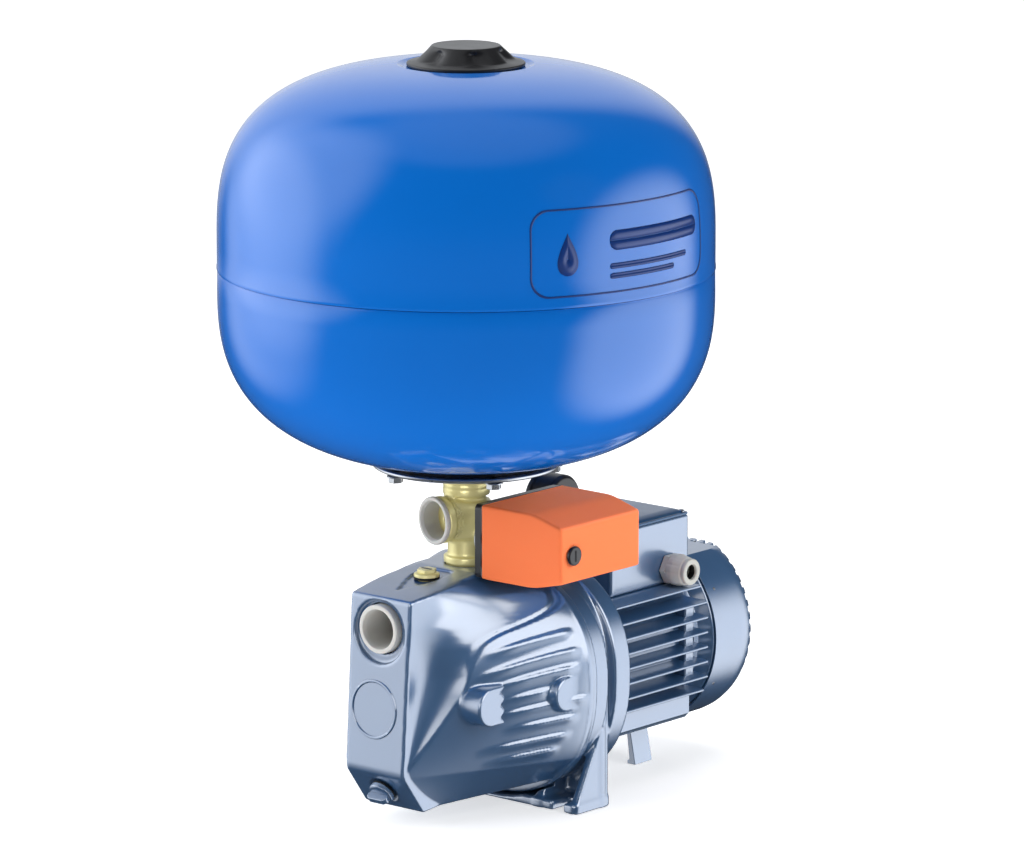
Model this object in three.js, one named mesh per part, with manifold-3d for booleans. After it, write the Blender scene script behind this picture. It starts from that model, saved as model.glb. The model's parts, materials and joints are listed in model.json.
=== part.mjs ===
// A shallow-well jet pump set: a cast jet pump with its motor on one foot, a brass five-way manifold on
// the delivery port, a pressure gauge, a pressure switch, and a membrane tank standing on the manifold.
// Millimetres. +Z is up, +Y runs along the shaft from the suction port to the fan, and +X is the side of
// the switch and the cable gland. The origin is on the floor, under the middle of the set.
import * as THREE from "three";
import { mergeVertices } from "three/addons/utils/BufferGeometryUtils.js";
import Module from "manifold-3d";

const wasm = await Module();
wasm.setup();

// -------------------------------------------------------------------------------------------------------
// Driving dimensions
// -------------------------------------------------------------------------------------------------------
const GAP = 0.3; // between neighbouring pieces
const SHAFT_Z = 96; // height of the shaft
const PORT_Y = -38; // axis of the delivery port, the manifold and the tank

// Pump casing
const FACE_HALF_WIDTH = 28; // the flat front with the suction port
const FACE_TOP = { y: -132, z: 170 };
const FACE_FOOT = { y: -140, z: 42 };
const CHAMFER_FOOT = { y: -118, z: 12 }; // end of the sloping face of the drain plug
const DECK_Z = 180; // flat top at the delivery port
const CASING_REAR_Y = -3;
const CASING_RING = { halfWidth: 96, up: 83, down: 92, power: 2.3, depth: 9 };
const BELL_NOSE_Y = -104; // where the round bell starts behind the front column
const WHEEL_CHAMBER = { radius: 70, front: -45 };
const INLET_CHAMBER = { halfWidth: 22, front: -128, bottom: 34, top: 158 };
const SUCTION = { z: 147, bore: 14.3, insert: 17.9, recess: 23.4, depth: 14 };
const FILLER = { y: -82, bore: 6.5, seat: 9.5 };
const DRAIN = { bore: 5, seat: 10 };
const DELIVERY = { bore: 12, thread: 15.5, depth: 8 };
const BOSSES = [
  { radius: 14, reach: 70, y: -90, z: 92 },
  { radius: 12.5, reach: 91, y: -31, z: 94 },
];
const CASING_BOLT = { circle: 78, shank: 3.8, head: 6.5, headHeight: 5 };

// Motor bracket and feet
const BRACKET = { plateFront: 11, plateRear: 20, rear: 37, halfWidth: 87, up: 83, power: 2.4 };
const DRUM = { halfWidth: 94, up: 82, down: 90, power: 2.3, wall: 5 };
const FOOT = { front: -18, thickness: 7, slotX: 70, slotWidth: 10, slotEnd: -4 };
const REAR_FOOT = { front: 122, rear: 142, halfWidth: 28, top: 35.5, wall: 2.5 };

// Shaft, bearings and rotor
const SHAFT = { wheelEnd: -34, fanEnd: 189, wheel: 6, body: 7.5, fan: 6 };
const BEARING = { bore: 7.8, inner: 10.4, outer: 13.8, seat: 17.2, width: 11 };
const FRONT_BEARING_Y = 24;
const REAR_BEARING_Y = 148.5;
const ROTOR = { radius: 27.8, front: 52, rear: 123 };
const STATOR = { radius: 55, bore: 28.6, front: 50, rear: 125, slots: 6, slotCircle: 38, slot: 5 };

// Motor frame
const FRAME = { bore: 55.4, radius: 60, front: 20.3, rear: 150, skirtHalfWidth: 57, skirtTop: 59 };
const FINS = { count: 8, lowest: 59.5, pitch: 11.3, thickness: 2.4, reach: 75, envelope: 80 };
const FAN_COVER = { radius: 73, front: 162, shoulder: 196, rear: 218, wall: 1.6, slots: 12, top: 156 };
const SHIELD = { radius: 61, disc: 5, flare: 6, rim: 71, rimWall: 4, rimLength: 8, hub: 22 };
const FAN = { radius: 57, front: 172, rear: 188, blades: 7 };

// Terminal box
const BOX = { halfWidth: 48, front: 69, rear: 160, bottom: 141, top: 189, wall: 2.5 };
const LID_TOP = 194;
const GLAND = { y: 136, z: 152.2, root: 12, tip: 9, bore: 5.2, base: 5, skirt: 10, reach: 22 };

// Manifold
const OUTLET = { z: 214.5, turn: (12 * Math.PI) / 180, reach: 31, radius: 17.8, bore: 14.9 };
const MANIFOLD = { bore: 10, neck: 13.8, body: 19, collar: 17.2, top: 251.4, bottom: 172.5 };
const GAUGE = { y: 52, z: 213, radius: 20, front: -5, back: 18, stem: 7 };

// Pressure switch
const SWITCH = { z: 204, front: -64, rear: 28, back: 28, coverBack: 36, coverFace: 110, wall: 2.2, screwHead: 7 };
const SWITCH_HEIGHT = { back: [176.8, 231.5], face: [183, 224], chamferX: 84 };
const PLUNGER = { radius: 4, tip: 1.5 };
const LEVER = { x: 39, pivotZ: 190, top: 222 };

// Tank
const TANK = { radius: 180, bottom: 255.6, top: 547, seam: 398, wall: 2 };
const TANK_DOME = { lower: 127.2, upper: 130, lowerPower: 2.6, upperPower: 2.91 };
const TANK_DISH = { radius: 46, edge: 52, z: 544.4 }; // shallow dish under the cap
const TANK_MOUTH = 55;
const FLANGE = { radius: 68.5, bottom: 252, thickness: 3, boltCircle: 63, bolts: 5 };
const CAP = { radius: 42.8, rim: 544.7, knob: 25, top: 559.5, wall: 2.2 };
const VALVE = { radius: 6, bottom: 532, top: 552, pin: 1.2 };

// -------------------------------------------------------------------------------------------------------
// Solids from three.js geometry
// -------------------------------------------------------------------------------------------------------
const ROUND = 12; // sides of a small round piece
const FINE = 28; // sides of a large one

// A closed geometry as a solid that can be joined and cut, with its faces turned outwards.
function solidOf(geometry) {
  const bare = geometry.index ? geometry.toNonIndexed() : geometry.clone();
  bare.deleteAttribute("normal");
  bare.deleteAttribute("uv");
  const merged = mergeVertices(bare, 1e-4);
  const vertProperties = merged.attributes.position.array;
  const triVerts = new Uint32Array(merged.index.array);
  const made = new wasm.Manifold(new wasm.Mesh({ numProp: 3, vertProperties, triVerts }));
  if (made.volume() > 0) return made;
  triVerts.reverse();
  return new wasm.Manifold(new wasm.Mesh({ numProp: 3, vertProperties, triVerts }));
}

// Stands a geometry made along +Y on another axis. at holds the other two coordinates, in X, Y, Z order.
function stand(geometry, axis, at) {
  if (axis === "x") return geometry.rotateZ(-Math.PI / 2).translate(0, at[0], at[1]);
  if (axis === "y") return geometry.translate(at[0], 0, at[1]);
  return geometry.rotateX(Math.PI / 2).translate(at[0], at[1], 0);
}

function rod(axis, radius, from, to, at, sides = ROUND) {
  const shape = new THREE.CylinderGeometry(radius, radius, to - from, sides);
  return solidOf(stand(shape.translate(0, (from + to) / 2, 0), axis, at));
}

function cone(axis, fromRadius, toRadius, from, to, at, sides = ROUND) {
  const shape = new THREE.CylinderGeometry(toRadius, fromRadius, to - from, sides);
  return solidOf(stand(shape.translate(0, (from + to) / 2, 0), axis, at));
}

// A hexagonal nut with a round hole.
function nut(axis, outer, inner, from, to, at) {
  return rod(axis, outer, from, to, at, 6).subtract(rod(axis, inner, from - 1, to + 1, at));
}

function ring(axis, outer, inner, from, to, at, sides = ROUND) {
  return rod(axis, outer, from, to, at, sides).subtract(rod(axis, inner, from - 1, to + 1, at, sides));
}

// A solid of revolution. profile is a closed loop of [radius, place on the axis].
function turned(axis, profile, at, sides = ROUND) {
  const points = [...profile, profile[0]].map(([radius, along]) => new THREE.Vector2(radius, along));
  return solidOf(stand(new THREE.LatheGeometry(points, sides), axis, at));
}

function block([x0, x1], [y0, y1], [z0, z1]) {
  const shape = new THREE.BoxGeometry(x1 - x0, y1 - y0, z1 - z0);
  return solidOf(shape.translate((x0 + x1) / 2, (y0 + y1) / 2, (z0 + z1) / 2));
}

// An outline of [first, second] coordinates pushed along an axis. They are the other two coordinates.
function slab(axis, outline, from, to) {
  const shape = new THREE.Shape(outline.map(([a, b]) => new THREE.Vector2(a, b)));
  const geometry = new THREE.ExtrudeGeometry(shape, { depth: to - from, bevelEnabled: false });
  if (axis === "z") return solidOf(geometry.translate(0, 0, from));
  if (axis === "y") return solidOf(geometry.rotateX(Math.PI / 2).translate(0, to, 0));
  const turn = new THREE.Matrix4().makeBasis(
    new THREE.Vector3(0, 1, 0),
    new THREE.Vector3(0, 0, 1),
    new THREE.Vector3(1, 0, 0),
  );
  return solidOf(geometry.applyMatrix4(turn).translate(from, 0, 0));
}

const join = (...solids) => solids.reduce((sum, next) => sum.add(next));
const cut = (solid, ...tools) => tools.reduce((rest, tool) => rest.subtract(tool), solid);
const shaftLine = [0, SHAFT_Z];
const portLine = [0, PORT_Y];

// How far a rounded housing reaches from the shaft at one angle: a superellipse, flatter above.
function housingReach(turn, { halfWidth, up, down, power }) {
  const sideways = Math.abs(Math.cos(turn)) / halfWidth;
  const upright = Math.abs(Math.sin(turn)) / (Math.sin(turn) > 0 ? up : down);
  return Math.pow(Math.pow(sideways, power) + Math.pow(upright, power), -1 / power);
}

function housingOutline(housing, inset = 0, steps = 40) {
  return Array.from({ length: steps }, (_, i) => {
    const turn = (2 * Math.PI * i) / steps;
    const reach = housingReach(turn, housing) - inset;
    return [reach * Math.cos(turn), SHAFT_Z + reach * Math.sin(turn)];
  });
}

// -------------------------------------------------------------------------------------------------------
// The assembly
// -------------------------------------------------------------------------------------------------------
const FINISHES = {
  enamel: { color: 0x6f88ab, roughness: 0.35, metalness: 0.45 },
  lid: { color: 0x14507d, roughness: 0.4, metalness: 0.1 },
  brass: { color: 0xb9ad74, roughness: 0.35, metalness: 0.9 },
  steel: { color: 0xb8bcc0, roughness: 0.3, metalness: 0.95 },
  lamination: { color: 0x6c6f73, roughness: 0.55, metalness: 0.8 },
  copper: { color: 0xb06a3a, roughness: 0.4, metalness: 0.9 },
  plastic: { color: 0xc9c9c4, roughness: 0.5, metalness: 0 },
  dark: { color: 0x2c2f33, roughness: 0.55, metalness: 0.1 },
  rubber: { color: 0x1c1c1e, roughness: 0.8, metalness: 0 },
  gland: { color: 0x96948e, roughness: 0.55, metalness: 0 },
  cover: { color: 0xf0703a, roughness: 0.45, metalness: 0 },
  tank: { color: 0x1464be, roughness: 0.25, metalness: 0.1 },
};

const pumpSet = new THREE.Group();
pumpSet.name = "jet_pump_set";

function addPart(name, solid, finish) {
  const { vertProperties, triVerts } = solid.getMesh();
  const geometry = new THREE.BufferGeometry();
  geometry.setAttribute("position", new THREE.BufferAttribute(vertProperties, 3));
  geometry.setIndex(new THREE.BufferAttribute(triVerts, 1));
  geometry.computeVertexNormals();
  const mesh = new THREE.Mesh(geometry, new THREE.MeshStandardMaterial(FINISHES[finish]));
  mesh.name = name;
  pumpSet.add(mesh);
}

// -------------------------------------------------------------------------------------------------------
// Pump casing with its ports and plugs
// -------------------------------------------------------------------------------------------------------

// The drain plug looks out of the sloping face under the front: forward and down.
const drainFace = {
  y: (FACE_FOOT.y + CHAMFER_FOOT.y) / 2,
  z: (FACE_FOOT.z + CHAMFER_FOOT.z) / 2,
  turn: Math.atan2(CHAMFER_FOOT.y - FACE_FOOT.y, FACE_FOOT.z - CHAMFER_FOOT.z),
};

// Moves a solid made along -Y from the origin onto the drain's axis.
function ontoDrain(solid) {
  const degrees = THREE.MathUtils.radToDeg(drainFace.turn);
  return solid.rotate([degrees, 0, 0]).translate([0, drainFace.y, drainFace.z]);
}

function bell() {
  const { halfWidth, up, down, power } = CASING_RING;
  const length = CASING_REAR_Y - CASING_RING.depth - BELL_NOSE_Y;
  const steps = 7;
  const nosePower = 2.2;
  const shrink = 0.965; // leaves the joint ring standing proud
  const profile = [new THREE.Vector2(0, CASING_REAR_Y - GAP)];
  profile.push(new THREE.Vector2(1, CASING_REAR_Y - GAP));
  for (let i = 0; i <= steps; i++) {
    const forward = Math.sin((Math.PI * i) / 2 / steps);
    const radius = Math.pow(1 - Math.pow(forward, nosePower), 1 / nosePower);
    const along = CASING_REAR_Y - CASING_RING.depth - forward * length;
    profile.push(new THREE.Vector2(radius * shrink, along));
  }
  const geometry = new THREE.LatheGeometry(profile, FINE);
  const place = geometry.attributes.position;
  for (let i = 0; i < place.count; i++) {
    const radius = Math.hypot(place.getX(i), place.getZ(i));
    const turn = Math.atan2(place.getZ(i), place.getX(i));
    const reach = radius * housingReach(turn, { halfWidth, up, down, power });
    place.setXYZ(i, reach * Math.cos(turn), place.getY(i), SHAFT_Z + reach * Math.sin(turn));
  }
  return solidOf(geometry);
}

function pumpCasing() {
  const column = slab(
    "x",
    [
      [FACE_TOP.y, FACE_TOP.z],
      [FACE_FOOT.y, FACE_FOOT.z],
      [CHAMFER_FOOT.y, CHAMFER_FOOT.z],
      [CHAMFER_FOOT.y + 20, 9],
      [-50, 24],
      [-50, 172],
    ],
    -FACE_HALF_WIDTH,
    FACE_HALF_WIDTH,
  );
  const cheeks = slab(
    "z",
    [
      [-FACE_HALF_WIDTH, FACE_TOP.y + 8],
      [FACE_HALF_WIDTH, FACE_TOP.y + 8],
      [64, -60],
      [-64, -60],
    ],
    24,
    160,
  );
  const deck = slab(
    "x",
    [
      [FACE_TOP.y + 1, FACE_TOP.z - 20],
      [FACE_TOP.y + 1, FACE_TOP.z],
      [PORT_Y - 24, DECK_Z],
      [CASING_REAR_Y - 12, DECK_Z],
      [CASING_REAR_Y - 12, SHAFT_Z + 20],
    ],
    -30,
    30,
  );
  const bosses = join(
    ...BOSSES.map(({ radius, reach, y, z }) => rod("x", radius, reach - 30, reach, [y, z])),
  );
  const body = join(column, cheeks, deck, bell(), bosses);
  const { halfWidth, front, bottom, top } = INLET_CHAMBER;
  const boltHoles = boltPlaces().map((at) => rod("y", CASING_BOLT.shank + GAP, -10.5, 0, at));
  return cut(
    body,
    block([-halfWidth, halfWidth], [front, WHEEL_CHAMBER.front + 5], [bottom, top]),
    rod("y", WHEEL_CHAMBER.radius, WHEEL_CHAMBER.front, 0, shaftLine, FINE),
    rod("y", SUCTION.insert + GAP, -150, front + 8, [0, SUCTION.z]),
    rod("y", SUCTION.recess, -150, FACE_TOP.y + 1.5, [0, SUCTION.z]),
    rod("z", DELIVERY.bore, SHAFT_Z, 200, portLine),
    rod("z", DELIVERY.thread, DECK_Z - DELIVERY.depth, 200, portLine),
    rod("z", FILLER.bore + GAP, 150, 200, [0, FILLER.y]),
    rod("z", FILLER.seat + 1, DECK_Z - 5, 200, [0, FILLER.y]),
    ontoDrain(rod("y", DRAIN.bore + GAP, -10, 14, [0, 0])),
    ontoDrain(rod("y", DRAIN.seat + 1, -20, 2, [0, 0])),
    ...boltHoles,
  );
}

// The four casing bolts, on the diagonals.
function boltPlaces() {
  return [45, 135, 225, 315].map((degrees) => {
    const turn = THREE.MathUtils.degToRad(degrees);
    return [CASING_BOLT.circle * Math.cos(turn), SHAFT_Z + CASING_BOLT.circle * Math.sin(turn)];
  });
}

function addPumpCasing() {
  addPart("pump_casing", pumpCasing(), "enamel");
  const insertFront = FACE_TOP.y - 3.5;
  const insertSpan = [insertFront, insertFront + SUCTION.depth];
  addPart(
    "suction_port_insert",
    ring("y", SUCTION.insert, SUCTION.bore, ...insertSpan, [0, SUCTION.z]),
    "plastic",
  );

  const seatZ = DECK_Z - 5;
  const fillerAt = [0, FILLER.y];
  addPart(
    "filler_plug_gasket",
    ring("z", FILLER.seat, FILLER.bore + GAP, seatZ + GAP, seatZ + 1.8, fillerAt),
    "rubber",
  );
  addPart(
    "filler_plug",
    cut(
      join(
        rod("z", FILLER.bore, seatZ - 12, seatZ + 3, fillerAt),
        rod("z", FILLER.seat, seatZ + 2.1, seatZ + 5, fillerAt),
        rod("z", 7.5, seatZ + 5, seatZ + 8, fillerAt, 6),
      ),
      block([-9, 9], [FILLER.y - 1, FILLER.y + 1], [seatZ + 6, seatZ + 9]),
    ),
    "brass",
  );

  addPart(
    "drain_plug_gasket",
    ontoDrain(ring("y", DRAIN.seat, DRAIN.bore + GAP, 0.2, 1.7, [0, 0])),
    "rubber",
  );
  addPart(
    "drain_plug",
    ontoDrain(
      join(
        rod("y", DRAIN.bore, -1, 12, [0, 0]),
        rod("y", DRAIN.seat, -6, -0.1, [0, 0]),
        block([-9.5, 9.5], [-12, -5], [-2.5, 2.5]),
      ),
    ),
    "enamel",
  );
}

// -------------------------------------------------------------------------------------------------------
// Ejector, guide wheel, impeller and shaft seal
// -------------------------------------------------------------------------------------------------------
function impeller() {
  const back = -14.5;
  const front = -31;
  const radius = 54;
  const vanes = Array.from({ length: 6 }, (_, i) => {
    const vane = block([14, radius - 6], [front + 1, back - 1], [-1.5, 1.5]).translate([0, 0, 12]);
    return vane.rotate([0, i * 60, 0]).translate([0, 0, SHAFT_Z]);
  });
  return cut(
    join(
      rod("y", radius, back - 3, back, shaftLine, FINE),
      ring("y", radius, 17, front, front + 2.5, shaftLine, FINE),
      rod("y", 11, front, back, shaftLine),
      ...vanes,
    ),
    rod("y", SHAFT.wheel + GAP, front - 1, back + 1, shaftLine),
  );
}

function guideWheel() {
  const vanes = Array.from({ length: 6 }, (_, i) =>
    block([57, 68], [-34.5, -16], [-1.5, 1.5])
      .rotate([0, i * 60 + 30, 0])
      .translate([0, 0, SHAFT_Z]),
  );
  return join(
    ring("y", 69.5, 14.5, -38, -34, shaftLine, FINE),
    ring("y", 69.5, 66, -34.5, -16, shaftLine, FINE),
    ...vanes,
  );
}

function addWaterway() {
  addPart(
    "jet_nozzle",
    turned("y", [[5, -124], [18, -124], [18, -120], [10, -118], [7.5, -104], [4, -104]], shaftLine),
    "brass",
  );
  const venturi = [[9, -99], [13, -99], [11, -80], [13.8, -44], [13.8, -34.5], [11.5, -34.5], [6, -84]];
  addPart("venturi_tube", turned("y", venturi, shaftLine), "plastic");
  addPart("guide_wheel", guideWheel(), "plastic");
  addPart("impeller", impeller(), "brass");
  addPart("impeller_nut", nut("y", 9.5, SHAFT.wheel - 0.7, -37, -31.3, shaftLine), "brass");
  addPart("shaft_seal_rotor", ring("y", 12.5, SHAFT.body + GAP, -14.2, -5, shaftLine), "rubber");
  addPart("shaft_seal_seat", ring("y", 15, SHAFT.body + 0.6, -4.7, 3, shaftLine), "plastic");
  addPart("casing_gasket", ring("y", 73.5, 70.5, -3, -1.2, shaftLine, FINE), "rubber");
}

// -------------------------------------------------------------------------------------------------------
// Motor bracket with the main foot
// -------------------------------------------------------------------------------------------------------
function archOutline() {
  const { halfWidth, up, power } = BRACKET;
  const arch = [];
  const steps = 20;
  for (let i = 0; i <= steps; i++) {
    const turn = (Math.PI * i) / steps;
    const reach = housingReach(turn, { halfWidth, up, down: up, power });
    arch.push([reach * Math.cos(turn), SHAFT_Z + reach * Math.sin(turn)]);
  }
  return [...arch, [-halfWidth, 0], [halfWidth, 0]];
}

function motorBracket() {
  const faceY = CASING_REAR_Y + 2;
  const register = slab("y", housingOutline(CASING_RING, 2.4), faceY, BRACKET.plateFront + 1);
  const plate = slab("y", archOutline(), BRACKET.plateFront, BRACKET.plateRear);
  const drum = slab("y", housingOutline(DRUM), BRACKET.plateRear - 1, BRACKET.rear);
  const drumHollow = slab("y", housingOutline(DRUM, DRUM.wall), BRACKET.plateRear, BRACKET.rear + 1);
  const width = [-BRACKET.halfWidth, BRACKET.halfWidth];
  const foot = block(width, [FOOT.front, BRACKET.plateRear], [0, FOOT.thickness]);
  const webs = [-BRACKET.halfWidth + 3, -50, 50, BRACKET.halfWidth - 3].map((x) =>
    slab(
      "x",
      [
        [FOOT.front + 2, 1],
        [BRACKET.plateFront + 1, 1],
        [BRACKET.plateFront + 1, 60],
      ],
      x - 3,
      x + 3,
    ),
  );
  const hub = rod("y", 23, BRACKET.plateRear - 1, FRONT_BEARING_Y + BEARING.width + 1, shaftLine);
  const underCasing = slab("y", housingOutline(CASING_RING, -1.5), -60, faceY - 0.1);
  const bearingSeat = [FRONT_BEARING_Y - GAP, BRACKET.rear + 1];
  const boltHoles = boltPlaces().map((at) => rod("y", CASING_BOLT.shank + GAP, -10, 30, at));
  const slots = [-FOOT.slotX, FOOT.slotX].map((x) =>
    join(
      block([x - FOOT.slotWidth / 2, x + FOOT.slotWidth / 2], [FOOT.front - 5, FOOT.slotEnd], [-5, 30]),
      rod("z", FOOT.slotWidth / 2, -5, 30, [x, FOOT.slotEnd]),
    ),
  );
  return cut(
    join(join(register, plate, foot, ...webs), cut(drum, drumHollow), hub),
    underCasing,
    rod("y", 15.3, faceY - 1, 3.3, shaftLine),
    rod("y", SHAFT.body + 1, faceY - 1, BRACKET.rear, shaftLine),
    rod("y", BEARING.seat + GAP, ...bearingSeat, shaftLine),
    ...boltHoles,
    ...slots,
  );
}

function addBracket() {
  addPart("motor_bracket", motorBracket(), "enamel");
  boltPlaces().forEach((at, i) => {
    const headY = BRACKET.plateRear + GAP;
    const shank = rod("y", CASING_BOLT.shank, -10, headY + 1, at);
    const head = rod("y", CASING_BOLT.head, headY, headY + CASING_BOLT.headHeight, at, 6);
    addPart(`casing_bolt_${i + 1}`, join(shank, head), "steel");
  });
  const { front, rear, halfWidth, top, wall } = REAR_FOOT;
  const outer = [[-halfWidth, 0], [halfWidth, 0], [halfWidth - 7, top], [7 - halfWidth, top]];
  const inner = [
    [wall * 2 - halfWidth, -1],
    [halfWidth - wall * 2, -1],
    [halfWidth - 9, top - wall],
    [9 - halfWidth, top - wall],
  ];
  const pads = [-1, 1].map((side) => {
    const edges = [side * (halfWidth - wall * 3), side * halfWidth].sort((a, b) => a - b);
    return block(edges, [front, rear], [0, wall]);
  });
  const arch = cut(slab("y", outer, front, rear), slab("y", inner, front - 1, rear + 1));
  addPart("motor_foot", join(arch, ...pads), "enamel");
}

// -------------------------------------------------------------------------------------------------------
// Motor
// -------------------------------------------------------------------------------------------------------
function addRotor() {
  const { wheelEnd, fanEnd, wheel, body, fan } = SHAFT;
  addPart(
    "rotor_shaft",
    join(
      rod("y", wheel - 1, wheelEnd - 4, wheelEnd + 4, shaftLine, 24),
      rod("y", wheel, wheelEnd + 3, -14, shaftLine, 24),
      rod("y", body, -14.2, REAR_BEARING_Y + BEARING.width + 1, shaftLine, 24),
      rod("y", fan, REAR_BEARING_Y + BEARING.width, fanEnd, shaftLine, 24),
    ),
    "steel",
  );
  const core = ring("y", ROTOR.radius, body + GAP, ROTOR.front, ROTOR.rear, shaftLine);
  addPart("rotor_core", core, "lamination");
  const { bore, inner, outer, seat, width } = BEARING;
  const places = { front: FRONT_BEARING_Y, rear: REAR_BEARING_Y };
  for (const [end, y] of Object.entries(places)) {
    addPart(`${end}_bearing_inner_race`, ring("y", inner, bore, y, y + width, shaftLine), "steel");
    addPart(`${end}_bearing_outer_race`, ring("y", seat, outer, y, y + width, shaftLine), "steel");
  }
}

function slotPlaces() {
  return Array.from({ length: STATOR.slots }, (_, i) => {
    const turn = (2 * Math.PI * (i + 0.5)) / STATOR.slots;
    return [STATOR.slotCircle * Math.cos(turn), SHAFT_Z + STATOR.slotCircle * Math.sin(turn)];
  });
}

function addStator() {
  const { radius, bore, front, rear, slot } = STATOR;
  const slots = slotPlaces().map((at) => rod("y", slot + GAP, front - 1, rear + 1, at));
  const stack = ring("y", radius, bore, front, rear, shaftLine, FINE);
  addPart("stator_core", cut(stack, ...slots), "lamination");
  const bars = slotPlaces().map((at) => rod("y", slot, front - 2, rear + 2, at));
  addPart(
    "stator_winding",
    join(
      ring("y", 50, 30, front - 11, front - GAP, shaftLine),
      ring("y", 50, 30, rear + GAP, rear + 13, shaftLine),
      ...bars,
    ),
    "copper",
  );
}

function motorFrame() {
  const { bore, radius, front, rear, skirtHalfWidth, skirtTop } = FRAME;
  const fins = Array.from({ length: FINS.count }, (_, i) => {
    const z = FINS.lowest + i * FINS.pitch;
    const reach = Math.min(FINS.reach, Math.sqrt(FINS.envelope ** 2 - (z - SHAFT_Z) ** 2));
    return block([-reach, reach], [front + 8, rear], [z - FINS.thickness / 2, z + FINS.thickness / 2]);
  });
  const skirtLength = [BRACKET.rear + 4, rear - 4];
  const skirt = block([-skirtHalfWidth, skirtHalfWidth], skirtLength, [SHAFT_Z - radius, skirtTop]);
  return cut(
    join(rod("y", radius, front, rear, shaftLine, FINE), skirt, ...fins),
    rod("y", bore, front - 1, rear + 1, shaftLine, FINE),
  );
}

function fanCover() {
  const { radius, front, shoulder, rear, wall, slots, top } = FAN_COVER;
  const crown = rear - shoulder;
  const steps = 4;
  const outer = [];
  const inner = [];
  for (let i = 0; i <= steps; i++) {
    const turn = (Math.PI * i) / 2 / steps;
    const corner = (reach) => [
      radius - crown + reach * Math.cos(turn),
      shoulder + reach * Math.sin(turn),
    ];
    outer.push(corner(crown));
    inner.push(corner(crown - wall));
  }
  const ends = [[0, rear], [0, rear - wall]];
  const profile = [[radius, front], ...outer, ...ends, ...inner.reverse(), [radius - wall, front]];
  const grille = Array.from({ length: slots }, (_, i) =>
    block([20, radius + 5], [shoulder + 6, rear + 5], [-2.2, 2.2])
      .rotate([0, (360 / slots) * i, 0])
      .translate([0, 0, SHAFT_Z]),
  );
  const above = block([-radius, radius], [front - 1, rear + 1], [top, top + radius]);
  const outside = cut(turned("y", profile, shaftLine, FINE), above);
  const roof = block([-40, 40], [front, shoulder + 8], [top - wall, top]);
  return cut(join(outside, roof), ...grille);
}

function coolingFan() {
  const { radius, front, rear, blades } = FAN;
  const vanes = Array.from({ length: blades }, (_, i) =>
    block([10, radius], [front, rear - 4], [-1, 1])
      .rotate([0, (360 / blades) * i, 0])
      .translate([0, 0, SHAFT_Z]),
  );
  return cut(
    join(rod("y", radius, front, front + 2, shaftLine), rod("y", 13, front, rear, shaftLine), ...vanes),
    rod("y", SHAFT.fan + GAP, front - 1, rear + 1, shaftLine),
  );
}

// A disc with a spigot in the frame, a bearing hub, and a rim that the fan cover slides over.
function rearEndShield() {
  const { radius, rim, rimWall, hub, disc, flare, rimLength } = SHIELD;
  const front = FRAME.rear + GAP;
  const discRear = front + disc;
  const rimFront = discRear + flare;
  const rimRear = rimFront + rimLength;
  const bearingEnd = REAR_BEARING_Y + BEARING.width;
  const solid = join(
    rod("y", radius, front, discRear, shaftLine, FINE),
    cone("y", radius, rim, discRear, rimFront, shaftLine, FINE),
    rod("y", FRAME.bore - 0.5, front - 5, front + 1, shaftLine, FINE),
    rod("y", hub, REAR_BEARING_Y - 2, bearingEnd + 3, shaftLine),
    rod("y", rim, rimFront, rimRear, shaftLine, FINE),
  );
  const sky = BOX.top; // higher than anything of the shield
  const boxWidth = BOX.halfWidth + 1;
  const underBox = cut(
    block([-boxWidth, boxWidth], [FRAME.rear, BOX.rear + 1], [BOX.bottom - 1, sky]),
    rod("y", FRAME.radius - GAP, FRAME.rear - 1, BOX.rear + 2, shaftLine, FINE),
  );
  const coverRoof = FAN_COVER.top - FAN_COVER.wall - 2 * GAP;
  const rimHollow = cut(
    join(
      cone("y", radius - rimWall, rim - rimWall, discRear, rimFront, shaftLine, FINE),
      rod("y", rim - rimWall, rimFront, rimRear + 1, shaftLine, FINE),
    ),
    rod("y", hub, discRear - 1, rimRear + 2, shaftLine),
  );
  return cut(
    solid,
    underBox,
    block([-rim - 2, rim + 2], [BOX.rear + 1, rimRear + 1], [coverRoof, sky]),
    rimHollow,
    rod("y", BEARING.seat + GAP, REAR_BEARING_Y - 6, bearingEnd + GAP, shaftLine),
    rod("y", SHAFT.body + 1, REAR_BEARING_Y - 6, rimRear + 4, shaftLine),
  );
}

function addMotor() {
  addRotor();
  addStator();
  addPart("motor_frame", motorFrame(), "enamel");
  addPart("rear_end_shield", rearEndShield(), "enamel");
  addPart("cooling_fan", coolingFan(), "dark");
  addPart("fan_cover", fanCover(), "enamel");
}

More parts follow.
